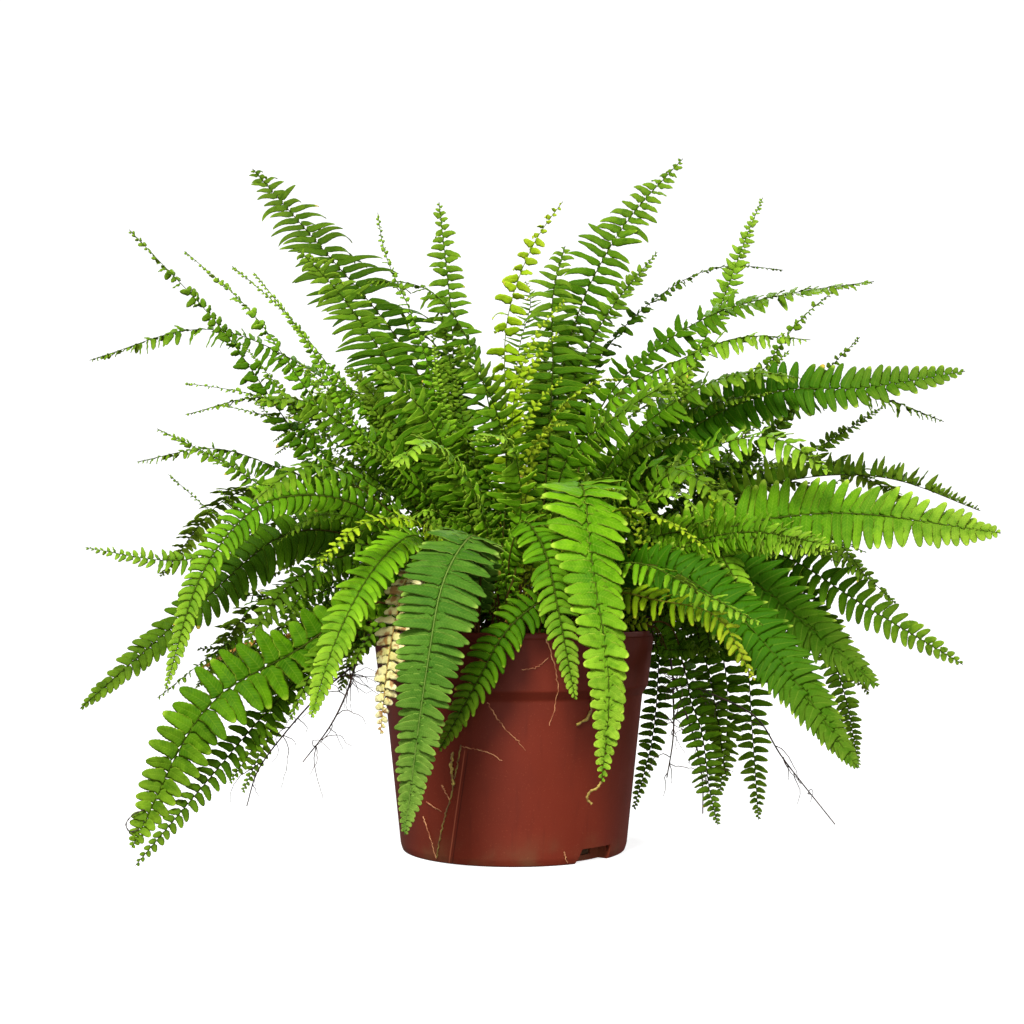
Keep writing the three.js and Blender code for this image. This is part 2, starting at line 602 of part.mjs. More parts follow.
function leafletSamples(start, end, tips, length) {
  const across = Math.ceil(length / LEAF_SAMPLE_STEP);
  const along = Math.ceil(start.edge.distanceTo(end.edge) / LEAF_SAMPLE_STEP);
  const samples = [];
  for (let i = 1; i <= across; i += 1) {
    const low = new THREE.Vector3().lerpVectors(start.edge, tips[0], i / across);
    const high = new THREE.Vector3().lerpVectors(end.edge, tips[tips.length - 1], i / across);
    for (let j = 0; j <= along; j += 1) {
      samples.push(new THREE.Vector3().lerpVectors(low, high, j / along));
    }
  }
  return samples;
}

// The first length and tilt of a leaflet that stays clear of every other frond, if any.
function placeLeaflet(room, rib, start, end, side) {
  const u = (start.t - rib.bare) / (1 - rib.bare);
  if (u < -0.001) return [];
  const full = rib.width * leafletShare(u + 0.5 / rib.pairs);
  const slender = rib.width < SLENDER_WIDTH || u > SLENDER_FROM;
  for (const share of LEAFLET_LENGTHS) {
    for (const lift of LEAFLET_LIFTS) {
      const length = full * share;
      const tips = leafletEnd(start, end, side, length, lift, slender);
      const samples = leafletSamples(start, end, tips, length);
      if (samples.every((sample) => room.isFree(sample, rib.id))) {
        samples.forEach((sample) => room.add(sample, rib.id));
        return tips;
      }
    }
  }
  return [];
}

function stationsOf(rib) {
  const stations = [0, rib.ground, (rib.ground + 2 * rib.bare) / 3];
  for (let i = 0; i <= rib.pairs; i += 1) {
    stations.push(rib.bare + (LAST_STATION - rib.bare) * (i / rib.pairs));
  }
  return stations.map((t) => {
    const half = THREE.MathUtils.lerp(STIPE_RADIUS, TIP_RIB_RADIUS, t);
    const thick = THREE.MathUtils.lerp(STIPE_THICKNESS, BLADE_THICKNESS, t) / 2;
    return { ...frameAt(rib, t), t, half, thick };
  });
}

// A thin plate built of corners that each have an upper and a lower vertex, so that both
// faces are split into triangles alike.
class Plate {
  constructor() {
    this.positions = [];
    this.faces = [];
  }

  vertex(point) {
    return this.positions.push(point.x, point.y, point.z) / 3 - 1;
  }

  corner(point, up, thick) {
    return {
      top: this.vertex(point.clone().addScaledVector(up, thick)),
      low: this.vertex(point.clone().addScaledVector(up, -thick)),
    };
  }

  // Two faces over a ring of corners, counter-clockwise from above, fanned from the first.
  cover(ring) {
    for (let i = 1; i + 1 < ring.length; i += 1) {
      const [a, b, c] = [ring[0], ring[i], ring[i + 1]];
      this.faces.push(a.top, b.top, c.top, a.low, c.low, b.low);
    }
  }

  // Side walls along a row of corners, with the plate on the left.
  fence(row) {
    for (let i = 0; i + 1 < row.length; i += 1) {
      const [a, b] = [row[i], row[i + 1]];
      this.faces.push(b.top, a.top, a.low, b.top, a.low, b.low);
    }
  }

  geometry() {
    const geometry = new THREE.BufferGeometry();
    geometry.setAttribute('position', new THREE.Float32BufferAttribute(this.positions, 3));
    geometry.setIndex(this.faces);
    return geometry;
  }
}

function withEdge(station, side) {
  const edge = station.point.clone().addScaledVector(station.right, side * station.half);
  return { ...station, edge };
}

function bladeGeometry(rib, room) {
  const plate = new Plate();
  const stations = stationsOf(rib);
  const rows = stations.map((station) => {
    const { up, thick } = station;
    return [-1, 1].map((side) => plate.corner(withEdge(station, side).edge, up, thick));
  });
  plate.fence([rows[0][0], rows[0][1]]);

  for (let i = 0; i + 1 < rows.length; i += 1) {
    const [left, right] = rows[i];
    const [nextLeft, nextRight] = rows[i + 1];
    plate.cover([left, right, nextRight, nextLeft]);
    for (const side of [1, -1]) {
      const start = withEdge(stations[i], side);
      const end = withEdge(stations[i + 1], side);
      const tips = placeLeaflet(room, rib, start, end, side)
        .map((tip) => plate.corner(tip, start.up, BLADE_THICKNESS / 2));
      const ring = side > 0 ? [right, ...tips, nextRight] : [nextLeft, ...tips.reverse(), left];
      plate.cover(ring);
      plate.fence(ring);
    }
  }

  const [left, right] = rows[rows.length - 1];
  const end = frameAt(rib, 1);
  const tip = plate.corner(end.point, end.up, BLADE_THICKNESS / 2);
  plate.cover([left, right, tip]);
  plate.fence([right, tip, left]);
  return plate.geometry();
}

// ---------------------------------------------------------------- clumps and runners

function reserveRib(room, rib) {
  const steps = RIB_SAMPLES * 3;
  for (let i = 0; i <= steps; i += 1) room.add(pointAt(rib, i / steps), rib.id);
}

function clumpGeometry(ribs, [x, y], room) {
  const blades = ribs.map((rib) => bladeGeometry(rib, room));
  if (blades.length === 1) return blades[0];
  const surface = soilHeight(x, y);
  let clump = peg(x, y, surface - HOLE_DEPTH, surface + CROWN_RISE, CROWN_RADIUS, HOLE_SIDES);
  for (const blade of blades) clump = clump.add(toManifold(blade));
  return outerSkin(clump);
}

function runnerGeometry(ribs, [x, y]) {
  const corners = [90, 210, 330].map((degrees) => new THREE.Vector2(
    RUNNER_RADIUS * Math.cos(THREE.MathUtils.degToRad(degrees)),
    RUNNER_RADIUS * Math.sin(THREE.MathUtils.degToRad(degrees)),
  ));
  const shape = new THREE.Shape(corners);
  const surface = soilHeight(x, y);
  let bunch = peg(x, y, surface - HOLE_DEPTH, surface + CROWN_RISE, RUNNER_RADIUS * RUNNER_KNOT, HOLE_SIDES);
  for (const rib of ribs) {
    const curve = new THREE.CatmullRomCurve3(rib.points.filter((point, i) => i % 6 === 0));
    const tube = new THREE.ExtrudeGeometry(shape, { steps: RUNNER_STEPS, extrudePath: curve });
    bunch = bunch.add(toManifold(tube));
  }
  return outerSkin(bunch);
}


// ---------------------------------------------------------------- the plant in its pot

const plant = new THREE.Group();

function addPiece(name, geometry, material) {
  const mesh = new THREE.Mesh(geometry, material);
  mesh.name = name;
  plant.add(mesh);
}

const ribs = [];
for (const [node, root, stem, branches] of RUNNERS) {
  ribs.push({ node, fixed: true, id: ribs.length, ...ribPoints(root, stem, 0, 1) });
  for (const branch of branches) {
    const route = [stem[stem.length - 1], ...branch].map((point) => new THREE.Vector3(...point));
    const points = new THREE.CatmullRomCurve3(route, false, 'centripetal').getSpacedPoints(RIB_SAMPLES);
    ribs.push({ node, fixed: true, id: ribs.length, points });
  }
}
for (const [node, , root, fronds] of CLUMPS) {
  fronds.forEach(([route, width, pairs, turn], place) => {
    const line = ribPoints(root, route, place, fronds.length);
    ribs.push({ node, fixed: false, id: ribs.length, ...line, width, pairs, turn, bare: BARE_SHARE });
  });
}
bendClear(ribs);

const room = new Room();
ribs.forEach((rib) => reserveRib(room, rib));

addPiece('pot', toGeometry(potSolid()), POT_PLASTIC);
addPiece('soil', toGeometry(soilSolid()), SOIL);
for (const [name, root] of RUNNERS) {
  addPiece(name, runnerGeometry(ribs.filter((rib) => rib.node === name), root), RUNNER);
}
for (const [name, tone, root] of CLUMPS) {
  addPiece(name, clumpGeometry(ribs.filter((rib) => rib.node === name), root, room), TONES[tone]);
}

export default plant;
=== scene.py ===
"""A potted sword fern: finely leafleted fronds, a moulded plastic pot, soil, runners and roots."""

import math

import bpy
import numpy as np
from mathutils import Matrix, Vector
from mathutils.kdtree import KDTree


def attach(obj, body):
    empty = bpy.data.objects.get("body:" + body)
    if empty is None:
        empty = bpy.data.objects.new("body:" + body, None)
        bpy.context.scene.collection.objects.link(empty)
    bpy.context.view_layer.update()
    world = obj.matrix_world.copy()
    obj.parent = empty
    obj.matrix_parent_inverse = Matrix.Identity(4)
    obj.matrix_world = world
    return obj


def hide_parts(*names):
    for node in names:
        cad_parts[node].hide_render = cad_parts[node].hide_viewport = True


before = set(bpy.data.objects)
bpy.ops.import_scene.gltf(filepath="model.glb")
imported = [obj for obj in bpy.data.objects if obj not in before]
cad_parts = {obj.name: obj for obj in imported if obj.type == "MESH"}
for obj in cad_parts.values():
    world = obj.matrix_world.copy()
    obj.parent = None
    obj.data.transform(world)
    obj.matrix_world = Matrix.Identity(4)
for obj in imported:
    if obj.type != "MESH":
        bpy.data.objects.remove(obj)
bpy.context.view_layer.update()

# Lengths below are millimetres, as on the object, unless a name says otherwise.
METRES = 0.001
SEED = 7366

# Camera, in metres: level, with its picture shifted up as the photograph is framed
CAMERA_PLACE = (-0.0013, -1.1, 0.187)
CAMERA_LENS = 51.64
CAMERA_SHIFT = 0.0835

# Pot, with its drain notches at angles in degrees from its right
POT_HEIGHT = 163
RIM_RADIUS = 105
BAND_RADIUS = 100.3
BAND_BOTTOM = 123.5
BODY_TOP_RADIUS = 96
BODY_TOP = 119
BASE_RADIUS = 84.3
WALL = 2
FLOOR = 3
POT_SIDES = 180
NOTCH_ANGLES = (-47.5, 132.5)
NOTCH_HALF_ANGLE = 12
NOTCH_SLANT = 4
NOTCH_DEPTH = 10
NOTCH_HEIGHT = 10.5
POT_CORNER = 1.4

# Old roots that lie on the pot: places as an angle from the front and a height
POT_ROOTS = [
    [(12, 159), (15, 144), (17, 131), (17, 112), (15, 99)],
    [(3, 138), (8, 139), (13, 146)],
    [(-11, 115), (-5, 100), (0, 91), (5, 82)],
    [(-23, 84), (-12, 81), (-5, 75)],
    [(-34, 56), (-30, 46)],
    [(-47, 32), (-43, 17), (-40, 3)],
    [(-44, 43), (-35, 37)],
    [(24, 10), (26, 2)],
]
POT_ROOT_RADIUS = 0.4
MOSS_LINE = [(-23, 85), (-26, 68), (-29, 50), (-34, 31), (-40, 4)]
HANGING_BITS = [
    [(31, 138), (34, 112), (32, 103), (27, 99)],
    [(-27, 80), (-28, 68), (-27, 57)],
]

# A dead thread and a dry curl: the frond that ends in it, its steps from the frond's tip, its
# radius and its two colours
TIP_BITS = {
    "dead_thread": (
        "frond_34", [(8.5, 0, 25.6), (0.4, -1, 21.6), (-3.6, -1, 15.6), (-0.9, -1, 10.9), (4.4, 0, 12.3)],
        0.6, ("1f1410", "3a2a1c")),
    "dry_curl": (
        "frond_23", [(0, 0, 1), (-3, -1, -3), (-7, -1, -5), (-9, 0, -10), (-6, 0, -13)],
        1.1, ("6a5220", "a89440")),
}

# Soil
SOIL_EDGE_HEIGHT = 150
SOIL_MOUND = 7
SOIL_RADIUS = 99
SOIL_SIDES = 90
CRUMB = 0.7
GAP = 0.3

# Litter on the soil: how many chips, how far out, and the ranges of their sizes
CHIPS = 420
LITTER_RADIUS = 96
CHIP_LENGTHS = (3, 11)
CHIP_WIDTHS = (1.5, 5)
CHIP_THICKNESSES = (0.6, 1.8)

# Ribs: the stalk of each frond, from its root in the soil to its tip
RIB_SAMPLES = 48
CROWN_SAMPLES = 4
CROWN_RISE = 3
CROWN_SPREAD = 2.2
HOLE_DEPTH = 12
RIB_CLEARANCE = 6
FLOOR_CLEARANCE = 4
RIM_CLEARANCE = 5
SOIL_CLEARANCE = 3
# How far under the soil's edge a sample counts as outside the pot, and the radii between which
# the ribs climb from the soil to the rim
SOIL_COVER = 8
CLIMB = (RIM_RADIUS - 28, RIM_RADIUS - 8)
BEND_ROUNDS = 40
# A round moves each sample by most of its own push and some of its two neighbours'. It holds what
# is in the soil or just over it, in this first share of the rib.
OWN_SHARE = 0.6
NEIGHBOUR_SHARE = 0.2
HELD_SHARE = 0.25
EXTRA_PUSH = 0.1
STIPE_RADIUS = 1.0
TIP_RIB_RADIUS = 0.2
RIB_ROLL = 0.14
RIB_SIDES = 8
STALK_SAMPLES = 73

# Leaflets: where along the frond they start, reach their full length and end, the distance from
# one to the next for a narrow blade and how it grows with the blade's half width
FIRST_LEAFLET = 0.12
BARE_SHARE = 0.26
LAST_LEAFLET = 0.995
NARROW_SPACING = 4.6
SPACING_GROWTH = 0.105
SHORTEST_LEAFLET = 2.4
HALF_THICKNESS = 0.17
EAR = 0.34
# Rows along a leaflet, columns across it and the depth of its teeth, on wide and narrow blades
WIDE_BLADE = 17
WIDE_GRID = (17, 7, 0.07)
NARROW_GRID = (11, 5, 0.09)

# Side shoots beside each frond: how many, how far they swing round, and their reach, rise and
# half width as shares of the frond's. None hangs before the pot's front lower than the floor.
SHOOTS = 3
SHOOT_FLOOR = 205
POT_FRONT = -RIM_RADIUS * 0.7
SHOOT_TURNS = (0.15, 0.6)
SHOOT_REACHES = (0.42, 0.78)
SHOOT_RISES = (0.85, 1.15)
SHOOT_WIDTHS = (0.4, 0.65)
LEAST_SHOOT_WIDTH = 7
# Crown shoots over the soil: how many for each root behind the line, how far they fan out, the
# height of their stem, their middle as shares of their reach and rise, and their half width
CROWN_SHOOTS = 2
CROWN_SHOOT_FRONT = -32
CROWN_SHOOT_FAN = 1.3
CROWN_SHOOT_STEM = 7
CROWN_SHOOT_MIDDLE = (0.4, 0.7)
CROWN_SHOOT_REACHES = (35, 60)
CROWN_SHOOT_RISES = (16, 40)
CROWN_SHOOT_WIDTHS = (9, 15)
CROWN_SHOOT_TURN = 0.75
BARE_HABITS = ("dead", "withered")
WITHERED_TONES = ("dry", "cream")

# Each clump of fronds rises from one root: node, tone, root in plan, fronds.
# A frond has the places that its rib passes, the half width of its blade, its turn, which is
# 0 where it faces the sky, 1 where it faces the front and under 0 where it faces back, and the
# habit of its leaflets.
CLUMPS = [
    ("frond_01", "dark", (-18, 37), [
        ([(-45, 60, 290), (-90, 80, 390), (-155, 95, 470), (-215, 110, 540)], 42, 0.9, "tapered")]),
    ("frond_02", "mid", (-40, 21), [
        ([(-55, 20, 300), (-95, 10, 365), (-135, 0, 420), (-160, -10, 445)], 30, 0.8, "tapered"),
        ([(-70, -10, 275), (-120, -30, 310), (-155, -45, 330), (-185, -55, 325)], 22, 0.6, "full")]),
    ("frond_03", "light", (-30, 2), [
        ([(-55, -10, 325), (-75, -15, 395), (-95, -20, 440), (-100, -20, 470)], 9, 0.6, "round"),
        ([(-80, 22, 290), (-130, 20, 350), (-175, 20, 405), (-215, 20, 440)], 7, 0.5, "round"),
        ([(-80, 2, 265), (-145, 0, 330), (-200, 10, 405), (-250, 15, 450)], 11, 0.5, "round")]),
    ("frond_04", "mid", (-5, 19), [
        ([(-30, 40, 280), (-45, 55, 345), (-50, 70, 415), (-60, 80, 505)], 22, 0.7, "arched"),
        ([(-20, 20, 340), (-50, 30, 410), (-75, 40, 430), (-115, 50, 435)], 20, 0, "edge")]),
    ("frond_05", "lime", (4, -7), [
        ([(-5, -20, 315), (-5, -25, 390), (15, -35, 445), (35, -50, 470)], 14, 0.8, "uneven")]),
    ("frond_06", "dark", (5, 58), [
        ([(0, 90, 315), (5, 105, 395), (15, 110, 430), (10, 120, 450)], 19, 0.6, "thin")]),
    ("frond_07", "mid", (16, 11), [
        ([(25, 15, 285), (30, 25, 365), (30, 35, 420), (40, 40, 460)], 34, 0.9, "tapered")]),
    ("frond_08", "mid", (21, 32), [
        ([(30, 50, 310), (50, 70, 410), (90, 95, 490), (140, 115, 550)], 29, 0.9, "arched")]),
    ("frond_09", "dark", (37, 42), [
        ([(60, 70, 360), (115, 95, 430), (170, 110, 460), (225, 125, 460)], 11, 0.3, "round")]),
    ("frond_10", "light", (35, 19), [
        ([(105, 30, 315), (155, 40, 400), (180, 45, 465), (195, 50, 500)], 14, 0.6, "full")]),
    ("frond_11", "mid", (30, -4), [
        ([(65, 10, 330), (140, 0, 395), (200, -20, 410), (260, -40, 415)], 22, 0.5, "full"),
        ([(70, -30, 285), (120, -50, 330), (160, -65, 345), (200, -75, 340)], 24, 0.5, "full")]),
    ("frond_12", "mid", (53, 19), [
        ([(135, 30, 300), (185, 62, 350), (230, 80, 410), (265, 90, 440)], 12, 0.7, "round")]),
    ("frond_13", "light", (48, -7), [
        ([(105, -20, 290), (185, -40, 335), (245, -60, 335), (315, -75, 345)], 24, 0.4, "standing"),
        ([(65, -25, 325), (115, -50, 355), (160, -70, 370), (205, -85, 365)], 18, 0, "edge")]),
    ("frond_14", "dark", (65, 9), [
        ([(135, 20, 260), (190, 30, 305), (240, 40, 360), (270, 45, 390)], 12, 0.7, "round"),
        ([(140, 20, 250), (205, 30, 245), (260, 40, 215), (300, 45, 180)], 15, 0.7, "full")]),
    ("frond_15", "dark", (63, 32), [
        ([(130, 40, 295), (200, 60, 340), (285, 80, 350), (350, 95, 330)], 19, 0, "edge"),
        ([(150, 70, 255), (200, 85, 280), (250, 100, 310), (305, 110, 345)], 13, 0.6, "full")]),
    ("frond_16", "light", (58, -35), [
        ([(90, -55, 215), (145, -75, 235), (220, -95, 245), (325, -120, 230)], 28, 0.85, "broad"),
        ([(100, -72, 212), (155, -88, 203), (200, -100, 168), (245, -112, 127)], 27, 0.9, "fused")]),
    ("frond_17", "dark", (70, -5), [
        ([(140, 0, 250), (210, -10, 275), (275, -20, 275), (340, -30, 250)], 20, 0, "raised"),
        ([(125, 0, 230), (185, -10, 250), (225, -20, 240), (255, -30, 205)], 18, 0.5, "full"),
        ([(155, -10, 220), (210, -20, 195), (240, -30, 120), (250, -35, 65)], 15, 0.9, "ladder")]),
    ("frond_18", "mid", (67, -19), [
        ([(130, -30, 220), (185, -45, 220), (250, -60, 180), (315, -70, 140)], 19, 0.9, "separate")]),
    ("frond_19", "light", (42, -53), [
        ([(85, -95, 210), (140, -122, 183), (178, -150, 138), (219, -165, 78)], 25, 0.8, "fused"),
        ([(50, -110, 200), (80, -140, 210), (120, -165, 190), (155, -185, 170)], 14, 0, "edge")]),
    ("frond_20", "lime", (12, -42), [
        ([(40, -90, 225), (70, -130, 245), (100, -160, 235), (125, -175, 215)], 9, 0, "full"),
        ([(10, -70, 270), (30, -85, 315), (55, -95, 335), (80, -105, 335)], 9, 0.1, "full")]),
    ("frond_21", "light", (40, -30), [
        ([(90, -60, 225), (130, -90, 230), (155, -120, 185), (170, -130, 160)], 17, 0.6, "crescent"),
        ([(90, -50, 255), (135, -85, 290), (175, -110, 295), (210, -125, 270)], 24, 0.5, "full")]),
    ("frond_22", "yellowed", (35, -67), [
        ([(60, -105, 190), (95, -135, 185), (130, -160, 175), (150, -180, 135)], 14, 0.5, "edge")]),
    ("frond_23", "light", (21, -25), [
        ([(30, -65, 240), (45, -115, 265), (50, -155, 210), (60, -175, 130), (55, -175, 70)],
         31, 0.5, "tailed")]),
    ("frond_24", "light", (-7, -42), [
        ([(5, -90, 240), (20, -120, 220), (30, -135, 175), (40, -140, 120)], 17, 0.5, "crescent"),
        ([(-25, -90, 255), (-45, -115, 285), (-60, -130, 290), (-80, -150, 270)], 20, 0.4, "full"),
        ([(5, -90, 260), (-5, -110, 295), (-25, -135, 290)], 18, 0.4, "full")]),
    ("frond_25", "bluish", (-25, -49), [
        ([(-25, -105, 230), (-45, -150, 200), (-55, -165, 145), (-70, -160, 35)], 30, 0.5, "ribbed")]),
    ("frond_26", "light", (-42, -35), [
        ([(-65, -90, 230), (-90, -125, 210), (-115, -150, 160), (-130, -160, 110)], 18, 0.6, "crescent")]),
    ("frond_27", "mid", (-56, -26), [
        ([(-60, -66, 212), (-110, -88, 185), (-140, -105, 130), (-150, -115, 105)], 14, 0.6, "full"),
        ([(-82, -55, 250), (-120, -85, 275), (-145, -105, 275), (-175, -120, 250)], 22, 0.4, "full")]),
    ("frond_28", "lime", (-36, -58), [
        ([(-55, -100, 230), (-80, -130, 240), (-105, -155, 230), (-125, -170, 205)], 9, 0.6, "full")]),
    ("frond_29", "mid", (18, -62), [
        ([(20, -110, 185), (-5, -125, 165), (-25, -125, 130), (-50, -120, 85)], 17, 0.7, "crescent")]),
    ("frond_30", "dry", (0, -74), [
        ([(0, -110, 175), (-20, -115, 150), (-35, -110, 120)], 4, 0.4, "dead")]),
    ("frond_31", "cream", (-51, -55), [
        ([(-70, -95, 205), (-80, -110, 170), (-85, -115, 140), (-90, -110, 95)], 13, 0.4, "withered")]),
    ("frond_32", "dry", (-74, -21), [
        ([(-105, -30, 185), (-145, -40, 165), (-190, -50, 155), (-225, -60, 135)], 6, 0, "dead")]),
    ("frond_33", "mid", (-63, 4), [
        ([(-100, -10, 200), (-155, -25, 185), (-205, -40, 155), (-255, -50, 115)], 8, 0, "edge"),
        ([(-95, 0, 255), (-160, -10, 255), (-210, -20, 285), (-260, -30, 310)], 13, 0.5, "full")]),
    ("frond_34", "mid", (-67, -39), [
        ([(-95, -60, 185), (-150, -90, 150), (-205, -110, 115), (-255, -120, 20)], 25, 0.85, "oval")]),
    ("frond_35", "dark", (-76, -7), [
        ([(-105, -40, 170), (-165, -75, 115), (-210, -105, 60), (-250, -130, 10)], 14, 0.8, "separate"),
        ([(-90, -25, 215), (-130, -45, 215), (-165, -60, 190), (-190, -70, 150)], 18, 0.6, "full")]),
    ("frond_36", "mid", (-67, 19), [
        ([(-115, 20, 185), (-165, 5, 150), (-185, -10, 90), (-210, -15, 50)], 14, 0.8, "ladder"),
        ([(-120, 30, 180), (-165, 20, 135), (-185, 15, 85), (-205, 10, 40)], 12, 0.8, "ladder"),
        ([(-95, 35, 260), (-175, 50, 285), (-235, 60, 305), (-300, 70, 295)], 16, 0, "edge")]),
    ("frond_37", "dark", (-60, -11), [
        ([(-105, -15, 225), (-160, -35, 235), (-220, -60, 185), (-300, -85, 110)], 26, 0.85, "comb")]),
    ("frond_38", "light", (-49, -19), [
        ([(-105, -45, 250), (-170, -75, 255), (-210, -95, 210), (-235, -110, 125)], 16, 0.7, "crescent")]),
    ("frond_39", "light", (-79, 11), [
        ([(-105, 20, 250), (-180, 25, 235), (-255, 20, 215), (-325, 15, 225)], 14, 0.7, "full")]),
    ("frond_40", "mid", (-53, 37), [
        ([(-75, 60, 305), (-140, 75, 355), (-245, 90, 405), (-345, 95, 380)], 18, 0, "edge"),
        ([(-115, 50, 245), (-175, 60, 230), (-225, 65, 245), (-275, 70, 285)], 6, 0.5, "round")]),
    ("frond_41", "light", (-51, 21), [
        ([(-90, 50, 285), (-155, 65, 330), (-210, 75, 350), (-265, 85, 360)], 10, 0.5, "round")]),
    ("frond_42", "mid", (-44, -5), [
        ([(-85, -20, 245), (-145, -30, 290), (-210, -40, 380), (-275, -50, 450)], 14, 0.5, "round")]),
    ("frond_44", "lime", (55, -23), [
        ([(120, -60, 225), (140, -80, 250), (130, -80, 275), (130, -85, 295)], 6, 0.5, "round")]),
    ("frond_45", "dark", (74, -32), [
        ([(110, -40, 170), (125, -30, 130), (135, -25, 80), (150, -20, 20)], 16, 0.9, "ladder"),
        ([(125, -10, 180), (143, -5, 140), (152, 0, 100), (160, 5, 50)], 14, 0.9, "ladder")]),
    ("frond_46", "mid", (77, 14), [
        ([(135, 20, 185), (160, 30, 145), (165, 35, 90), (160, 40, 35)], 17, 0.9, "ladder"),
        ([(145, 40, 195), (180, 60, 155), (190, 70, 80), (195, 70, 10)], 18, 0.9, "ladder")]),
    ("frond_47", "dark", (65, 46), [
        ([(115, 60, 180), (115, 65, 135), (110, 65, 75), (95, 60, 20)], 12, 0.9, "ladder"),
        ([(150, 75, 195), (235, 110, 185), (300, 140, 105)], 20, -0.3, "full"),
        ([(105, 120, 205), (155, 195, 195), (190, 250, 120)], 22, -0.3, "full")]),
    ("frond_48", "mid", (-14, -19), [
        ([(-45, -30, 275), (-60, -50, 315), (-100, -70, 350)], 24, 0.6, "full"),
        ([(-5, -50, 280), (-15, -70, 325), (-40, -95, 360)], 22, 0.6, "full")]),
    ("frond_49", "mid", (28, -40), [
        ([(35, -55, 280), (75, -85, 315), (120, -120, 340)], 26, 0.6, "full"),
        ([(60, -80, 240), (90, -110, 275), (115, -125, 270), (145, -140, 245)], 20, 0.5, "full")]),
    ("frond_50", "mid", (49, 53), [
        ([(145, 92, 262), (255, 125, 300), (345, 155, 265)], 24, -0.3, "full"),
        ([(100, 120, 280), (170, 200, 310), (235, 275, 255)], 26, -0.3, "full")]),
    ("frond_51", "mid", (7, 74), [
        ([(50, 140, 290), (85, 235, 305), (115, 325, 225)], 26, -0.3, "full"),
        ([(-30, 130, 290), (-55, 225, 310), (-75, 320, 240)], 26, -0.3, "full"),
        ([(10, 135, 200), (20, 200, 190), (25, 260, 110)], 22, -0.3, "full")]),
    ("frond_52", "light", (2, 42), [
        ([(20, 110, 330), (35, 200, 385), (50, 290, 370)], 24, -0.3, "full"),
        ([(-75, 115, 320), (-145, 185, 365), (-210, 240, 350)], 22, -0.3, "full"),
        ([(75, 115, 325), (140, 190, 370), (195, 260, 350)], 22, -0.3, "full")]),
    ("frond_53", "mid", (-37, 55), [
        ([(-85, 130, 270), (-145, 205, 290), (-205, 285, 225)], 26, -0.3, "full"),
        ([(-140, 90, 260), (-235, 140, 275), (-310, 190, 205)], 24, -0.3, "full")]),
    ("frond_54", "dark", (-56, 53), [
        ([(-85, 125, 200), (-125, 195, 185), (-160, 250, 100)], 22, -0.3, "full"),
        ([(-140, 85, 200), (-210, 120, 185), (-270, 150, 110)], 20, -0.3, "full")]),
]

# Runners: node, root in plan, stem, branches from the stem's end
RUNNERS = [
    ("runners_right", (82, -30), [(98, -34, 173), (110, -34, 160), (116, -30, 128)], [
        [(117, -22, 85), (113, -16, 54)],
        [(133, -24, 81), (139, -18, 51), (140, -12, 27)],
        [(136, -26, 120), (180, -8, 98), (202, 6, 67), (245, 20, 14)],
    ]),
    ("runners_left", (-76, -50), [(-88, -56, 173), (-106, -60, 156), (-112, -60, 140)], [
        [(-134, -56, 122), (-162, -50, 92), (-184, -46, 62), (-192, -44, 37)],
        [(-118, -62, 120), (-130, -60, 96), (-150, -56, 70)],
    ]),
]
RUNNER_RADIUS = 0.8
# Twigs along each branch of a runner and hairs at each knot: how many, lengths, radii of the ends
TWIGS, TWIG_LENGTHS, TWIG_RADII = 10, (12, 45), (0.4, 0.16)
HAIRS, HAIR_LENGTHS, HAIR_RADII = 16, (10, 32), (0.35, 0.14)
# Where hairs burst from each bunch of runners
KNOTS = {"runners_right": [(133, -26, 121), (119, -30, 126)], "runners_left": [(-116, -60, 132)]}

# Habits of the leaflets.
# spacing: share of the usual spacing; fill: leaflet width over spacing; point: 0 blunt to 1
# pointed; rise: angle at the rib, down positive; bend: further droop; sweep: lean towards the
# tip; hook: further lean; curl: how far the edges turn down; wave: how far the edges wave;
# gap: share of leaflets lost; sag: how far they droop under their weight rather than backwards;
# stout: the most that a leaflet's width may be, as a share of its length; level: how far a
# leaflet evens out towards the horizontal; loose: how unlike each other the leaflets are;
# slim: how far the blade narrows in its outer half; slant: how far the leaflets of one side lean
# back while those of the other lean forward; vary: how far the leaflets' lengths differ; narrow:
# how far a leaflet narrows in its outer half; open: how far it is cut back where it meets the
# rib; crowd: how much closer the leaflets stand towards the tip; twist: how far they turn about
# their own length; tilt: how far the row at the back rises and the row in front sinks; shade:
# lighter over 0, darker under 0; short: how much shorter the leaflets near the root are; turn:
# stands in for the frond's own turn.
# A habit's shade is partly the fronds' own tone and partly painted light and shade: it lightens hanging
# fronds that lie in the plant's shadow and darkens fronds that lie partly in shade.
USUAL = dict(spacing=1.02, fill=0.92, point=0.55, rise=0.05, bend=0.35, sweep=0.16, hook=0.2, curl=0.06,
             wave=0.18, gap=0.03, sag=0.3, stout=0.64, level=0.2, loose=1.5, slim=0, slant=0, vary=0.25,
             narrow=0, open=0.6, crowd=1.15, twist=0.35, tilt=0, shade=0, short=0)
BROAD = dict(USUAL, spacing=1.1, fill=1.24, point=0.12, rise=0, bend=0.18, sweep=0.02, curl=0.05,
             wave=0.12, gap=0, sag=0.2, stout=0.8, level=0, loose=0.75, slant=0.2, vary=0.06, narrow=0.16,
             open=0.15, twist=0.07)
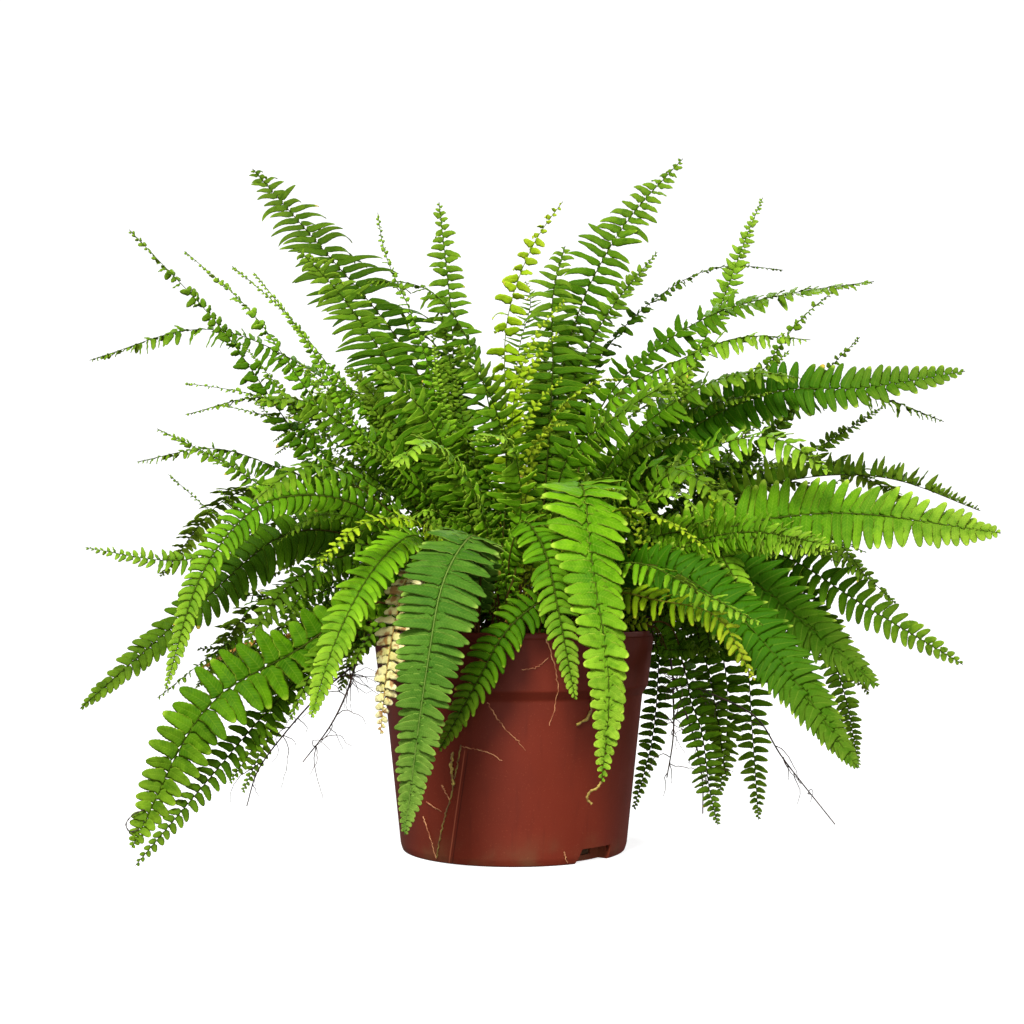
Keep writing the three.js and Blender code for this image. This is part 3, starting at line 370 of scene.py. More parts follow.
HABITS = {
    "full": dict(USUAL, short=0.38),
    "broad": dict(BROAD, fill=1.08, shade=-0.5),
    "tailed": dict(BROAD, spacing=1.13, slim=0.36, slant=0.4),
    "ribbed": dict(BROAD, spacing=0.64, fill=1.65, slim=0.3, slant=0, twist=0.04),
    # Painted shade, in part: the fused fronds' colour is darkened where they lie partly in shade.
    "fused": dict(BROAD, spacing=0.95, fill=1.75, point=0.75, sweep=0.3, hook=0.3, slant=0, narrow=0.3,
        twist=0.02, loose=0.4, wave=0.06, curl=0.02, shade=-1.9),
    "oval": dict(BROAD, spacing=1.32, fill=1.2, point=0.35, hook=0.1, slant=0, vary=0.12, narrow=0,
        open=0.55, crowd=1.4, loose=1, twist=0.12),
    "separate": dict(BROAD, spacing=1.15, fill=0.88, sweep=0.12, hook=0.35, loose=0.9, slant=0, open=0.5,
        twist=0.12),
    "standing": dict(BROAD, spacing=1.25, fill=0.95, sweep=0.1, slant=0, open=0.4, twist=0.15, rise=-0.2,
        turn=0.8, shade=-2.2),
    # Painted light: the ladder fronds' colour is lightened, as they hang in the plant's shadow.
    "ladder": dict(BROAD, spacing=1.18, fill=0.86, point=0.2, sweep=-0.02, hook=0.25, slant=0, open=0.6,
        curl=0.1, twist=0.3, crowd=1.3, loose=1.1, vary=0.15, shade=0.6),
    "crescent": dict(BROAD, spacing=0.9, fill=1.05, point=0.2, hook=0.8, slant=0.1, curl=0.15),
    "comb": dict(BROAD, spacing=0.9, fill=1.12, sweep=0.22, hook=0.4, slant=0, bend=0.3, curl=0.1,
        open=0.4, loose=0.9, twist=0.1, slim=0.25),
    "raised": dict(USUAL, spacing=1.4, fill=0.62, point=0.6, rise=-0.9, bend=-0.1, sweep=0, hook=0.35,
        curl=0.1, sag=0, level=0, loose=0.8),
    "tapered": dict(USUAL, spacing=1.04, fill=0.72, point=0.6, rise=-0.15, bend=0.95, sweep=0.08,
        wave=0.1, hook=0.15, gap=0, sag=0.9, stout=0.5, level=0.75, loose=0.8, twist=0.16, shade=-0.5),
    "arched": dict(USUAL, spacing=1.4, fill=0.72, point=0.5, rise=-0.1, bend=0.8, sweep=0.1, hook=0.15,
        curl=0.2, gap=0, sag=0.9, level=0.6, loose=0.9, twist=0.2),
    "uneven": dict(USUAL, spacing=1.5, fill=0.8, point=0.35, bend=0.8, gap=0.1, sag=0.9, level=0.6,
        loose=1.8, twist=0.4),
    "thin": dict(USUAL, spacing=0.8, fill=0.45, point=0.8, rise=0, sag=0.9, level=0.8, loose=0.5),
    "edge": dict(USUAL, spacing=1.1, fill=0.78, point=0.25, rise=0.35, sweep=0.25, hook=0.35, curl=0.2,
        gap=0.05, stout=0.6, level=0, tilt=0.55),
    "round": dict(USUAL, spacing=1.15, fill=0.85, point=0.3, rise=0.1, bend=0.5, sweep=0.35, curl=0.2,
        wave=0.2, gap=0.05, sag=0.4, stout=0.8, level=0, loose=2.2, vary=0.35, slim=0.25, twist=0.6,
        shade=-0.6),
    "dead": dict(USUAL, spacing=0.6, fill=0.95, point=0.3, rise=0.4, bend=0.9, sweep=0.3, hook=0.6,
        curl=0.5, wave=0.5, gap=0.1, sag=0.5, stout=0.8, level=0, loose=2, vary=0.3),
    "withered": dict(BROAD, fill=1.1, bend=0.3, hook=0.3, curl=0.15, wave=0.25, gap=0.03, slant=0,
        loose=1.2, vary=0.15, narrow=0.1, twist=0.15),
}

# ---------------------------------------------------------------- lines

def soil_height(x, y):
    return SOIL_EDGE_HEIGHT + SOIL_MOUND * (1 - (x * x + y * y) / SOIL_RADIUS ** 2)


def unit(vectors):
    lengths = np.linalg.norm(vectors, axis=-1, keepdims=True)
    return vectors / np.maximum(lengths, 1e-9)


def smooth_step(values, low, high):
    share = np.clip((values - low) / (high - low), 0, 1)
    return share * share * (3 - 2 * share)


def curve_through(places, count, fine=24):
    """A centripetal curve through the places, as count + 1 points that lie evenly along it."""
    places = np.asarray(places, float)
    places = np.vstack([2 * places[0] - places[1], places, 2 * places[-1] - places[-2]])
    stretch = []
    for a, b, c, d in zip(places, places[1:], places[2:], places[3:]):
        t1 = np.linalg.norm(b - a) ** 0.5
        t2 = t1 + np.linalg.norm(c - b) ** 0.5
        t3 = t2 + np.linalg.norm(d - c) ** 0.5
        t = np.linspace(t1, t2, fine, endpoint=False)[:, None]
        ab = (t1 - t) / t1 * a + t / t1 * b
        bc = (t2 - t) / (t2 - t1) * b + (t - t1) / (t2 - t1) * c
        cd = (t3 - t) / (t3 - t2) * c + (t - t2) / (t3 - t2) * d
        abc = (t2 - t) / t2 * ab + t / t2 * bc
        bcd = (t3 - t) / (t3 - t1) * bc + (t - t1) / (t3 - t1) * cd
        stretch.append((t2 - t) / (t2 - t1) * abc + (t - t1) / (t2 - t1) * bcd)
    line = np.vstack(stretch + [places[-2:-1]])
    steps = np.linalg.norm(np.diff(line, axis=0), axis=1)
    along = np.concatenate([[0], np.cumsum(steps)])
    even = np.linspace(0, along[-1], count + 1)
    return np.stack([np.interp(even, along, line[:, k]) for k in range(3)], axis=1)


def rib_points(root, route, place=0, count=1):
    """The line of one of a root's ribs, which share the root in a ring, along its route."""
    around = place / count * 2 * math.pi
    spread = CROWN_SPREAD if count > 1 else 0
    x = root[0] + spread * math.cos(around)
    y = root[1] + spread * math.sin(around)
    surface = soil_height(*root)
    depth = CROWN_RISE if count > 1 else HOLE_DEPTH
    places = [(x, y, surface - depth), (x, y, surface + CROWN_RISE + 2), *route]
    return curve_through(places, RIB_SAMPLES)


def out_of_pot(points):
    """How far each point has to move to leave the pot's wall or rise from the soil."""
    x, y, z = points[..., 0], points[..., 1], points[..., 2]
    radius = np.maximum(np.hypot(x, y), 1e-6)
    nearest = RIM_RADIUS + RIM_CLEARANCE
    over = POT_HEIGHT + RIM_CLEARANCE
    clear = (radius > nearest) | (z > over)
    outside = ~clear & ((z < SOIL_EDGE_HEIGHT - SOIL_COVER) | (radius > RIM_RADIUS))
    inside = ~clear & ~outside
    moves = np.zeros_like(points)
    push = (nearest / radius - 1) * outside
    moves[..., 0] = x * push
    moves[..., 1] = y * push
    climb = smooth_step(radius, *CLIMB)
    lowest = (soil_height(x, y) + SOIL_CLEARANCE) * (1 - climb) + over * climb
    moves[..., 2] = np.maximum(lowest - z, 0) * inside
    return moves


def push_apart(points, nodes):
    """Moves that part the ribs that come nearer to each other than the clearance."""
    count, samples = points.shape[:2]
    flat = points.reshape(-1, 3)
    tree = KDTree(len(flat))
    for i, point in enumerate(flat):
        tree.insert(point, i)
    tree.balance()
    moves = np.zeros_like(flat)
    touching = 0
    for i, point in enumerate(flat):
        rib = i // samples
        for other, j, distance in tree.find_range(point, RIB_CLEARANCE):
            if j // samples == rib or distance >= RIB_CLEARANCE:
                continue
            together = nodes[rib] == nodes[j // samples]
            if together and min(i % samples, j % samples) < CROWN_SAMPLES:
                continue
            touching += 1
            offset = (point - np.array(other)) / max(distance, 1e-6)
            moves[i] += offset * ((RIB_CLEARANCE - distance) / 2 + EXTRA_PUSH)
    return moves.reshape(count, samples, 3), touching


def bend_clear(ribs):
    """Bends the ribs clear of each other and of the pot, as they grow in the solid model."""
    points = np.stack([rib["points"] for rib in ribs])
    nodes = [rib["node"] for rib in ribs]
    free = np.array([not rib["fixed"] for rib in ribs])[:, None]
    surface = np.array([soil_height(*rib["points"][0][:2]) for rib in ribs])[:, None] + CROWN_RISE
    early = np.arange(RIB_SAMPLES + 1)[None, :] < RIB_SAMPLES * HELD_SHARE
    for _ in range(BEND_ROUNDS):
        pushed, touching = push_apart(points, nodes)
        if touching == 0:
            break
        moves = pushed + out_of_pot(points)
        before = np.concatenate([moves[:, :1], moves[:, :-1]], axis=1)
        after = np.concatenate([moves[:, 1:], moves[:, -1:]], axis=1)
        held = (points[..., 2] < surface) & early
        active = (free & ~held)[..., None]
        shared = NEIGHBOUR_SHARE * before + NEIGHBOUR_SHARE * after
        points = points + active * (OWN_SHARE * moves + shared)
        lowest = np.maximum(points[..., 2], FLOOR_CLEARANCE + 1)
        points[..., 2] = np.where(active[..., 0], lowest, points[..., 2])
    for rib, line in zip(ribs, points):
        rib["points"] = line


def lift_out(line, rounds):
    """Moves a shoot's line, but for its crown, out of the pot's wall and the soil."""
    for _ in range(rounds):
        line[CROWN_SAMPLES:] += out_of_pot(line)[CROWN_SAMPLES:]


def side_shoots(ribs):
    """Short slender fronds that fill a clump, each beside one of the clump's own fronds."""
    shoots = []
    for index, rib in enumerate(r for r in ribs if not r["fixed"]):
        rng = np.random.default_rng(SEED * 2 + index)
        root = rib["points"][0]
        for _ in range(SHOOTS):
            turn = rng.choice((-1, 1)) * rng.uniform(*SHOOT_TURNS)
            reach = rng.uniform(*SHOOT_REACHES)
            reached = (rib["points"] - root) * reach
            twist = turn * np.linspace(0.3, 1, len(reached))
            x = reached[:, 0] * np.cos(twist) - reached[:, 1] * np.sin(twist)
            y = reached[:, 0] * np.sin(twist) + reached[:, 1] * np.cos(twist)
            line = np.stack([x, y, reached[:, 2] * rng.uniform(*SHOOT_RISES)], axis=1) + root
            line[:, 2] = np.maximum(line[:, 2], line[0, 2])
            lift_out(line, 6)
            width = max(rib["width"] * rng.uniform(*SHOOT_WIDTHS), LEAST_SHOOT_WIDTH)
            before_pot = (line[:, 1] < POT_FRONT) & (line[:, 2] < SHOOT_FLOOR)
            if rib["habit"] not in BARE_HABITS and not before_pot.any():
                shoots.append(dict(rib, points=line, width=width, habit="full"))
    return shoots


def crown_shoots(ribs):
    """Short young fronds low over the soil, beside the roots that stand behind the pot's front."""
    shoots = []
    for index, (node, _, root, _) in enumerate(CLUMPS):
        rng = np.random.default_rng(SEED * 3 + index)
        rib = next(r for r in ribs if r["node"] == node)
        if root[1] < CROWN_SHOOT_FRONT or rib["habit"] in BARE_HABITS:
            continue
        for _ in range(CROWN_SHOOTS):
            start = rib["points"][0]
            around = math.atan2(root[1], root[0]) + rng.uniform(-CROWN_SHOOT_FAN, CROWN_SHOOT_FAN)
            reach, rise = rng.uniform(*CROWN_SHOOT_REACHES), rng.uniform(*CROWN_SHOOT_RISES)
            ahead = np.array((math.cos(around), math.sin(around), 0))
            places = [start + ahead * reach * out + (0, 0, CROWN_SHOOT_STEM + rise * up)
                      for out, up in ((0, 0), CROWN_SHOOT_MIDDLE, (1, 1))]
            line = curve_through([start, *places], RIB_SAMPLES)
            lift_out(line, 4)
            width = rng.uniform(*CROWN_SHOOT_WIDTHS)
            shoots.append(dict(rib, points=line, width=width, turn=CROWN_SHOOT_TURN, habit="full"))
    return shoots


def all_ribs():
    ribs = []
    for node, root, stem, branches in RUNNERS:
        ribs.append(dict(node=node, fixed=True, points=rib_points(root, stem)))
        for branch in branches:
            line = curve_through([stem[-1], *branch], RIB_SAMPLES)
            ribs.append(dict(node=node, fixed=True, points=line))
    for node, _, root, fronds in CLUMPS:
        for place, (route, width, turn, habit) in enumerate(fronds):
            line = rib_points(root, route, place, len(fronds))
            ribs.append(dict(node=node, fixed=False, points=line, width=width, turn=turn, habit=habit))
    bend_clear(ribs)
    return ribs


# ---------------------------------------------------------------- meshes

class Leafage:
    """Gathers closed quad skins, with the values that the leaf materials read from them.

    leaf holds, per point: place along the leaflet, place across it, a random number per leaflet.
    tint holds, per point: place along the frond, a random number per frond that its habit's
    shade has moved, 1 on the rib.
    under is 1 on the faces of a leaflet's underside.
    """

    def __init__(self):
        self.skins = []
        self.count = 0

    def add(self, points, leaf, tint, faces, under):
        self.skins.append((points, leaf, tint, faces + self.count, under))
        self.count += len(points)

    def object(self, name, material):
        points, leaf, tint, faces, under = (np.concatenate(values) for values in zip(*self.skins))
        mesh = bpy.data.meshes.new(name)
        mesh.vertices.add(len(points))
        mesh.vertices.foreach_set("co", (points * METRES).astype(np.float32).ravel())
        mesh.loops.add(faces.size)
        mesh.loops.foreach_set("vertex_index", faces.astype(np.int32).ravel())
        mesh.polygons.add(len(faces))
        mesh.polygons.foreach_set("loop_start", np.arange(len(faces), dtype=np.int32) * 4)
        mesh.update(calc_edges=True)
        mesh.shade_smooth()
        for label, values in (("leaf", leaf), ("tint", tint)):
            layer = mesh.attributes.new(label, "FLOAT_VECTOR", "POINT")
            layer.data.foreach_set("vector", values.astype(np.float32).ravel())
        layer = mesh.attributes.new("under", "FLOAT", "FACE")
        layer.data.foreach_set("value", under.astype(np.float32))
        return linked(name, mesh, material)


def linked(name, data, material=None):
    """An object of the scene that holds the data, with its material if it has one."""
    piece = bpy.data.objects.new(name, data)
    bpy.context.scene.collection.objects.link(piece)
    if material:
        data.materials.append(material)
    return piece


def mesh_from(name, points, faces):
    """A mesh from points in millimetres."""
    mesh = bpy.data.meshes.new(name)
    mesh.from_pydata((np.asarray(points, float) * METRES).tolist(), [], faces)
    return mesh


def mesh_object(name, points, faces, material, smooth_angle=40):
    """An object from points in millimetres, smooth but for edges sharper than the angle."""
    mesh = mesh_from(name, points, faces)
    mesh.update()
    mesh.shade_smooth()
    mesh.set_sharp_from_angle(angle=math.radians(smooth_angle))
    return linked(name, mesh, material)


def tube(line, radii, sides):
    """Points and faces of a closed tube along a line, with a parallel carried frame."""
    line = np.asarray(line, float)
    along = unit(np.gradient(line, axis=0))
    across = np.empty_like(line)
    start = np.cross(along[0], (0, 0, 1))
    if np.linalg.norm(start) < 0.1:
        start = np.cross(along[0], (0, 1, 0))
    across[0] = unit(start)
    for i in range(1, len(line)):
        carried = across[i - 1] - along[i] * np.dot(across[i - 1], along[i])
        across[i] = unit(carried)
    other = np.cross(along, across)
    turn = np.arange(sides) / sides * 2 * math.pi
    radii = np.broadcast_to(radii, (len(line),))[:, None, None]
    cos, sin = np.cos(turn)[None, :, None], np.sin(turn)[None, :, None]
    ring = cos * across[:, None, :] + sin * other[:, None, :]
    points = (line[:, None, :] + radii * ring).reshape(-1, 3)
    i = np.arange(len(line) - 1)[:, None] * sides
    j = np.arange(sides)[None, :]
    nxt = (j + 1) % sides
    faces = np.stack([i + j, i + nxt, i + sides + nxt, i + sides + j], axis=-1).reshape(-1, 4)
    last = (len(line) - 1) * sides
    caps = []
    for k in range(sides // 2 - 1):
        quad = np.array([k, k + 1, sides - 2 - k, sides - 1 - k])
        caps.append(quad[::-1])
        caps.append(quad + last)
    return points, np.vstack([faces, caps])


# ---------------------------------------------------------------- fronds

def smoothed(values, rounds=3, fixed=CROWN_SAMPLES):
    values = values.copy()
    for _ in range(rounds):
        middle = (values[:-2] + 2 * values[1:-1] + values[2:]) / 4
        values[fixed:-1] = middle[fixed - 1:]
    return values


def turned(first, second, angle):
    """Two directions turned by an angle, the first towards the second."""
    cos, sin = np.cos(angle)[..., None], np.sin(angle)[..., None]
    return cos * first + sin * second, cos * second - sin * first


def rib_frame(rib, rng):
    """Evenly spaced frames along a rib: its line, the way it runs, its right and its face."""
    line = smoothed(rib["points"])
    along = unit(np.gradient(smoothed(line, 4), axis=0))
    turn = HABITS[rib["habit"]].get("turn", rib["turn"])
    face = np.array((0, -turn, 1 - abs(turn)))
    up = unit(face - along * (along @ face)[:, None])
    right = np.cross(along, up)
    t = np.linspace(0, 1, len(line))
    roll = RIB_ROLL * np.sin(2 * math.pi * (t * rng.uniform(0.6, 1.2) + rng.random())) * t
    right, up = turned(right, up, roll)
    return dict(line=line, along=along, right=right, up=up)


def at(values, t):
    grid = np.linspace(0, 1, len(values))
    return np.stack([np.interp(t, grid, values[:, k]) for k in range(3)], axis=-1)


def lens_faces(rows, columns):
    """Faces of a thin closed lens: a grid above and a grid below that share their border."""
    top = np.arange(rows * columns).reshape(rows, columns)
    bottom = top.copy()
    inner = (rows - 2) * (columns - 2)
    bottom[1:-1, 1:-1] = rows * columns + np.arange(inner).reshape(rows - 2, columns - 2)

    def quads(grid):
        corners = [grid[:-1, :-1], grid[1:, :-1], grid[1:, 1:], grid[:-1, 1:]]
        return np.stack(corners, axis=-1).reshape(-1, 4)

    return quads(top), quads(bottom)[:, [0, 3, 2, 1]]


def leaflet_outline(s, habit, tooth):
    """Half widths of a leaflet on the side of the frond's tip and on the other side."""
    point, cut = habit["point"], habit["open"]
    blunt = np.sqrt(1 - np.clip((s - 0.6) / 0.41, 0, 1) ** 2) * (1 - 0.12 * s)
    taper = np.clip((1.02 - s) / 0.8, 0, 1) ** 0.9
    body = (blunt * (1 - point) + taper * point) * (1 - habit["narrow"] * smooth_step(s, 0.3, 0.9))
    teeth = 1 - tooth * (np.arange(len(s)) % 2)
    ear = 1 + EAR * np.exp(-((s - 0.09) / 0.055) ** 2)
    near = body * ear * (0.55 + 0.45 * smooth_step(s, 0, 0.05)) * teeth
    far = body * (1 - cut + cut * smooth_step(s, 0, 0.2)) * teeth
    return near, far


def leaflets(leafage, rib, side, rng, frond_random):
    """One row of leaflets along one side of a rib."""
    habit = HABITS[rib["habit"]]
    width = rib["width"]
    spacing = (NARROW_SPACING + SPACING_GROWTH * width) * habit["spacing"]
    count = max(int(rib["length"] * (1 - FIRST_LEAFLET) / spacing), 6)
    place = (np.arange(count) + (0.25 if side > 0 else 0.75)) / count
    place = place[rng.random(count) > habit["gap"]]
    count = len(place)
    t = FIRST_LEAFLET + (LAST_LEAFLET - FIRST_LEAFLET) * (1 - (1 - place) ** habit["crowd"])
    blade = np.clip((t - BARE_SHARE) / (1 - BARE_SHARE), 0, 1)
    share = np.sin(math.pi * (blade * 0.94 + 0.06) ** 0.8) ** 0.6
    share = share * (0.55 + 0.45 * smooth_step(t, FIRST_LEAFLET - 0.02, BARE_SHARE))
    share = share * (1 - habit["slim"] * smooth_step(t, 0.45, 0.76))
    share = share * (1 - habit["short"] * (1 - smooth_step(t, 0.3, 0.85)))
    length = width * share * (1 + rng.uniform(-1, 1, count) * habit["vary"])
    length = np.maximum(length, SHORTEST_LEAFLET)
    pitch = spacing * (1 - place) ** (habit["crowd"] - 1) * habit["crowd"]
    breadth = pitch * habit["fill"] * rng.uniform(0.94, 1.05, count)
    breadth = np.minimum(breadth, habit["stout"] * length + 0.6)

    rows, columns, tooth = WIDE_GRID if width > WIDE_BLADE else NARROW_GRID
    s = 1 - (1 - np.linspace(0, 1, rows)) ** 1.25
    near, far = leaflet_outline(s, habit, tooth)
    v = np.linspace(-1, 1, columns)
    v = np.sign(v) * np.abs(v) ** 0.9
    half = np.where(v > 0, near[:, None], far[:, None])

    def wander(amount):
        return rng.normal(0, amount, count)[:, None]

    loose = habit["loose"]
    lean = habit["sweep"] - habit["slant"] * side * (1 - (2 * place[:, None] - 1) ** 2)
    lean = lean + wander(0.09 * loose) + 0.5 * place[:, None] ** 3 - 0.2 * (1 - place[:, None]) ** 4
    lean = lean + habit["hook"] * (1 + wander(0.2)) * s[None, :] ** 1.3
    right = at(rib["right"], t) * side
    droop = habit["rise"] - habit["tilt"] * right[:, 1:2] + wander(0.16 * loose)
    droop = droop + habit["bend"] * (1 + wander(0.3)) * s[None, :] ** 1.2
    twist = wander(habit["twist"]) + 0.3 * habit["twist"]

    along = at(rib["along"], t)
    up = at(rib["up"], t)
    down = unit(habit["sag"] * np.array((0, 0, -1.0)) - (1 - habit["sag"]) * up)
    right = unit(right * (1, 1, 1 - habit["level"]))
    out, across = turned(right[:, None, :], along[:, None, :], lean)
    run = unit(turned(out, down[:, None, :], droop)[0])
    across = unit(across - run * np.sum(across * run, axis=-1, keepdims=True))
    across, normal = turned(across, side * np.cross(run, across), twist)
    ds = np.diff(s, prepend=0)[None, :, None] * length[:, None, None]
    centre = at(rib["line"], t)[:, None, :] + np.cumsum(run * ds, axis=1)

    half = half[None] * (breadth / 2)[:, None, None]
    level = -habit["curl"] * half * v ** 2
    phase = rng.random(count)[:, None, None]
    waves = np.sin(2 * math.pi * (s[None, :, None] * 2.2 + phase) + v[None, None, :] * 1.3)
    level = level + habit["wave"] * half * waves * np.abs(v) ** 1.5
    level = level - 0.06 * half.max(axis=(1, 2), keepdims=True) * np.exp(-(v / 0.15) ** 2)
    surface = centre[:, :, None, :] + across[:, :, None, :] * (half * v)[..., None]
    thickness = HALF_THICKNESS * (1 + 1.2 * np.exp(-(v / 0.2) ** 2))[None, None, :, None]
    above = surface + normal[:, :, None, :] * (level[..., None] + thickness)
    below = surface + normal[:, :, None, :] * (level[..., None] - thickness)
    border = np.zeros((rows, columns), bool)
    border[[0, -1], :] = True
    border[:, [0, -1]] = True
    edge = surface + normal[:, :, None, :] * level[..., None]
    above[:, border] = edge[:, border]
    below = below[:, 1:-1, 1:-1].reshape(count, -1, 3)
    points = np.concatenate([above.reshape(count, -1, 3), below], axis=1)

    grid_s, grid_v = np.meshgrid(s, v, indexing="ij")
    flat = np.stack([grid_s, grid_v], axis=-1)
    flat = np.concatenate([flat.reshape(-1, 2), flat[1:-1, 1:-1].reshape(-1, 2)])
    leaf = np.empty(points.shape)
    leaf[..., :2] = flat
    leaf[..., 2] = rng.random(count)[:, None]
    tint = np.zeros(points.shape)
    tint[..., 0] = t[:, None]
    tint[..., 1] = frond_random

    upper, lower = lens_faces(rows, columns)
    faces = np.concatenate([upper, lower])
    if side < 0:
        faces = faces[:, ::-1]
    under = np.concatenate([np.zeros(len(upper)), np.ones(len(lower))])
    shift = np.arange(count)[:, None, None] * points.shape[1]
    leafage.add(points.reshape(-1, 3), leaf.reshape(-1, 3), tint.reshape(-1, 3),
                (faces[None] + shift).reshape(-1, 4), np.tile(under, count))


def stalk(leafage, rib, frond_random):
    """The rib itself, thin at its tip."""
    t = np.linspace(0, 1, STALK_SAMPLES)
    thin = TIP_RIB_RADIUS + 0.004 * rib["width"]
    radii = thin + (STIPE_RADIUS - thin) * (1 - t) ** 1.8
    points, faces = tube(at(rib["line"], t), radii, RIB_SIDES)
    leaf = np.zeros((len(points), 3))
    tint = np.ones((len(points), 3))
    tint[:, 0] = np.repeat(t, RIB_SIDES)
    tint[:, 1] = frond_random
    leafage.add(points, leaf, tint, faces, np.zeros(len(faces)))


def frond(leafage, rib, rng):
    rib.update(rib_frame(rib, rng))
    rib["length"] = np.linalg.norm(np.diff(rib["line"], axis=0), axis=1).sum()
    frond_random = rng.random() + HABITS[rib["habit"]]["shade"]
    stalk(leafage, rib, frond_random)
    for side in (1, -1):
        leaflets(leafage, rib, side, rng, frond_random)


# ---------------------------------------------------------------- materials

def linear(code):
    """A colour for a shader from a hexadecimal code as seen on screen."""
    values = [int(code[i:i + 2], 16) / 255 for i in (0, 2, 4)]
    return (*(((v + 0.055) / 1.055) ** 2.4 if v > 0.04045 else v / 12.92 for v in values), 1)


class Shader:
    """A short way to write a node tree. It keeps the colour that its coats have reached."""

    def __init__(self, name, color=None):
        self.material = bpy.data.materials.new(name)
        self.material.use_nodes = True
        self.tree = self.material.node_tree
        self.surface = self.tree.nodes["Principled BSDF"]
        self.color = color

    def node(self, kind, **settings):
        node = self.tree.nodes.new(kind)
        for key, value in settings.items():
            setattr(node, key, value)
        return node

    def feed(self, node, inputs):
        """Gives each named or numbered input an output, a hexadecimal colour or a plain value."""
        for key, value in inputs.items():
            if hasattr(value, "is_output"):
                self.tree.links.new(value, node.inputs[key])
            else:
                node.inputs[key].default_value = linear(value) if isinstance(value, str) else value
        return node

    def math(self, operation, *values, clamp=False):
        node = self.node("ShaderNodeMath", operation=operation, use_clamp=clamp)
        return self.feed(node, dict(enumerate(values))).outputs[0]

    def times(self, value, *factors):
        for factor in factors:
            value = self.math("MULTIPLY", value, factor)
        return value

    def ramp(self, value, low, high, to_low=0, to_high=1):
        node = self.node("ShaderNodeMapRange", interpolation_type="SMOOTHSTEP")
        return self.feed(node, dict(enumerate((value, low, high, to_low, to_high)))).outputs[0]

    def mix(self, share, first, second):
        node = self.node("ShaderNodeMix", data_type="RGBA")
        return self.feed(node, {0: share, 6: first, 7: second}).outputs[2]

    def coat(self, color, *shares):
        """Lays a colour over the present one, as far as the product of the shares."""
        self.color = self.mix(self.times(*shares), self.color, color)

    def split(self, vector):
        return self.feed(self.node("ShaderNodeSeparateXYZ"), {0: vector}).outputs

    def attribute(self, name, output="Vector"):
        return self.node("ShaderNodeAttribute", attribute_name=name).outputs[output]

    def place(self):
        return self.node("ShaderNodeTexCoord").outputs["Object"]

    def noise(self, scale, detail, vector=None):
        inputs = {"Vector": vector or self.place(), "Scale": scale, "Detail": detail}
        return self.feed(self.node("ShaderNodeTexNoise"), inputs).outputs["Fac"]

    def bump(self, height, strength, distance):
        inputs = {"Strength": strength, "Distance": distance, "Height": height}
        node = self.feed(self.node("ShaderNodeBump"), inputs)
        self.feed(self.surface, {"Normal": node.outputs[0]})

    def finish(self, roughness, specular, **others):
        inputs = {"Base Color": self.color, "Roughness": roughness, "Specular IOR Level": specular}
        self.feed(self.surface, inputs | others)
        return self.material


# Each tone: the two colours of its leaflets, their edge and the rib beyond its brown root
TONES = {
    "light": ("2f5e04", "6c9c10", "b4c848", "3a4c10"),
    "mid": ("234a03", "4f7a06", "98b034", "2e3c0c"),
    "dark": ("203e04", "446a06", "80982a", "242c08"),
    "bluish": ("2a5210", "587e26", "98b04c", "5c7430"),
    "lime": ("5a7c06", "8aa810", "c0c83c", "546418"),
    "yellowed": ("446c06", "7c960e", "c8bc3c", "5c5c18"),
    "dry": ("9a641c", "dcae44", "ecd084", "8a5a2c"),
    "cream": ("b4ac5c", "e4dca4", "f0e8c4", "9c7c40"),
}


# The frond chance at which a frond is darkest and its edges and veins are faintest; this darkening is
# partly painted shade
DARK_FROND = -1.4
LEAF_IOR = 1.2


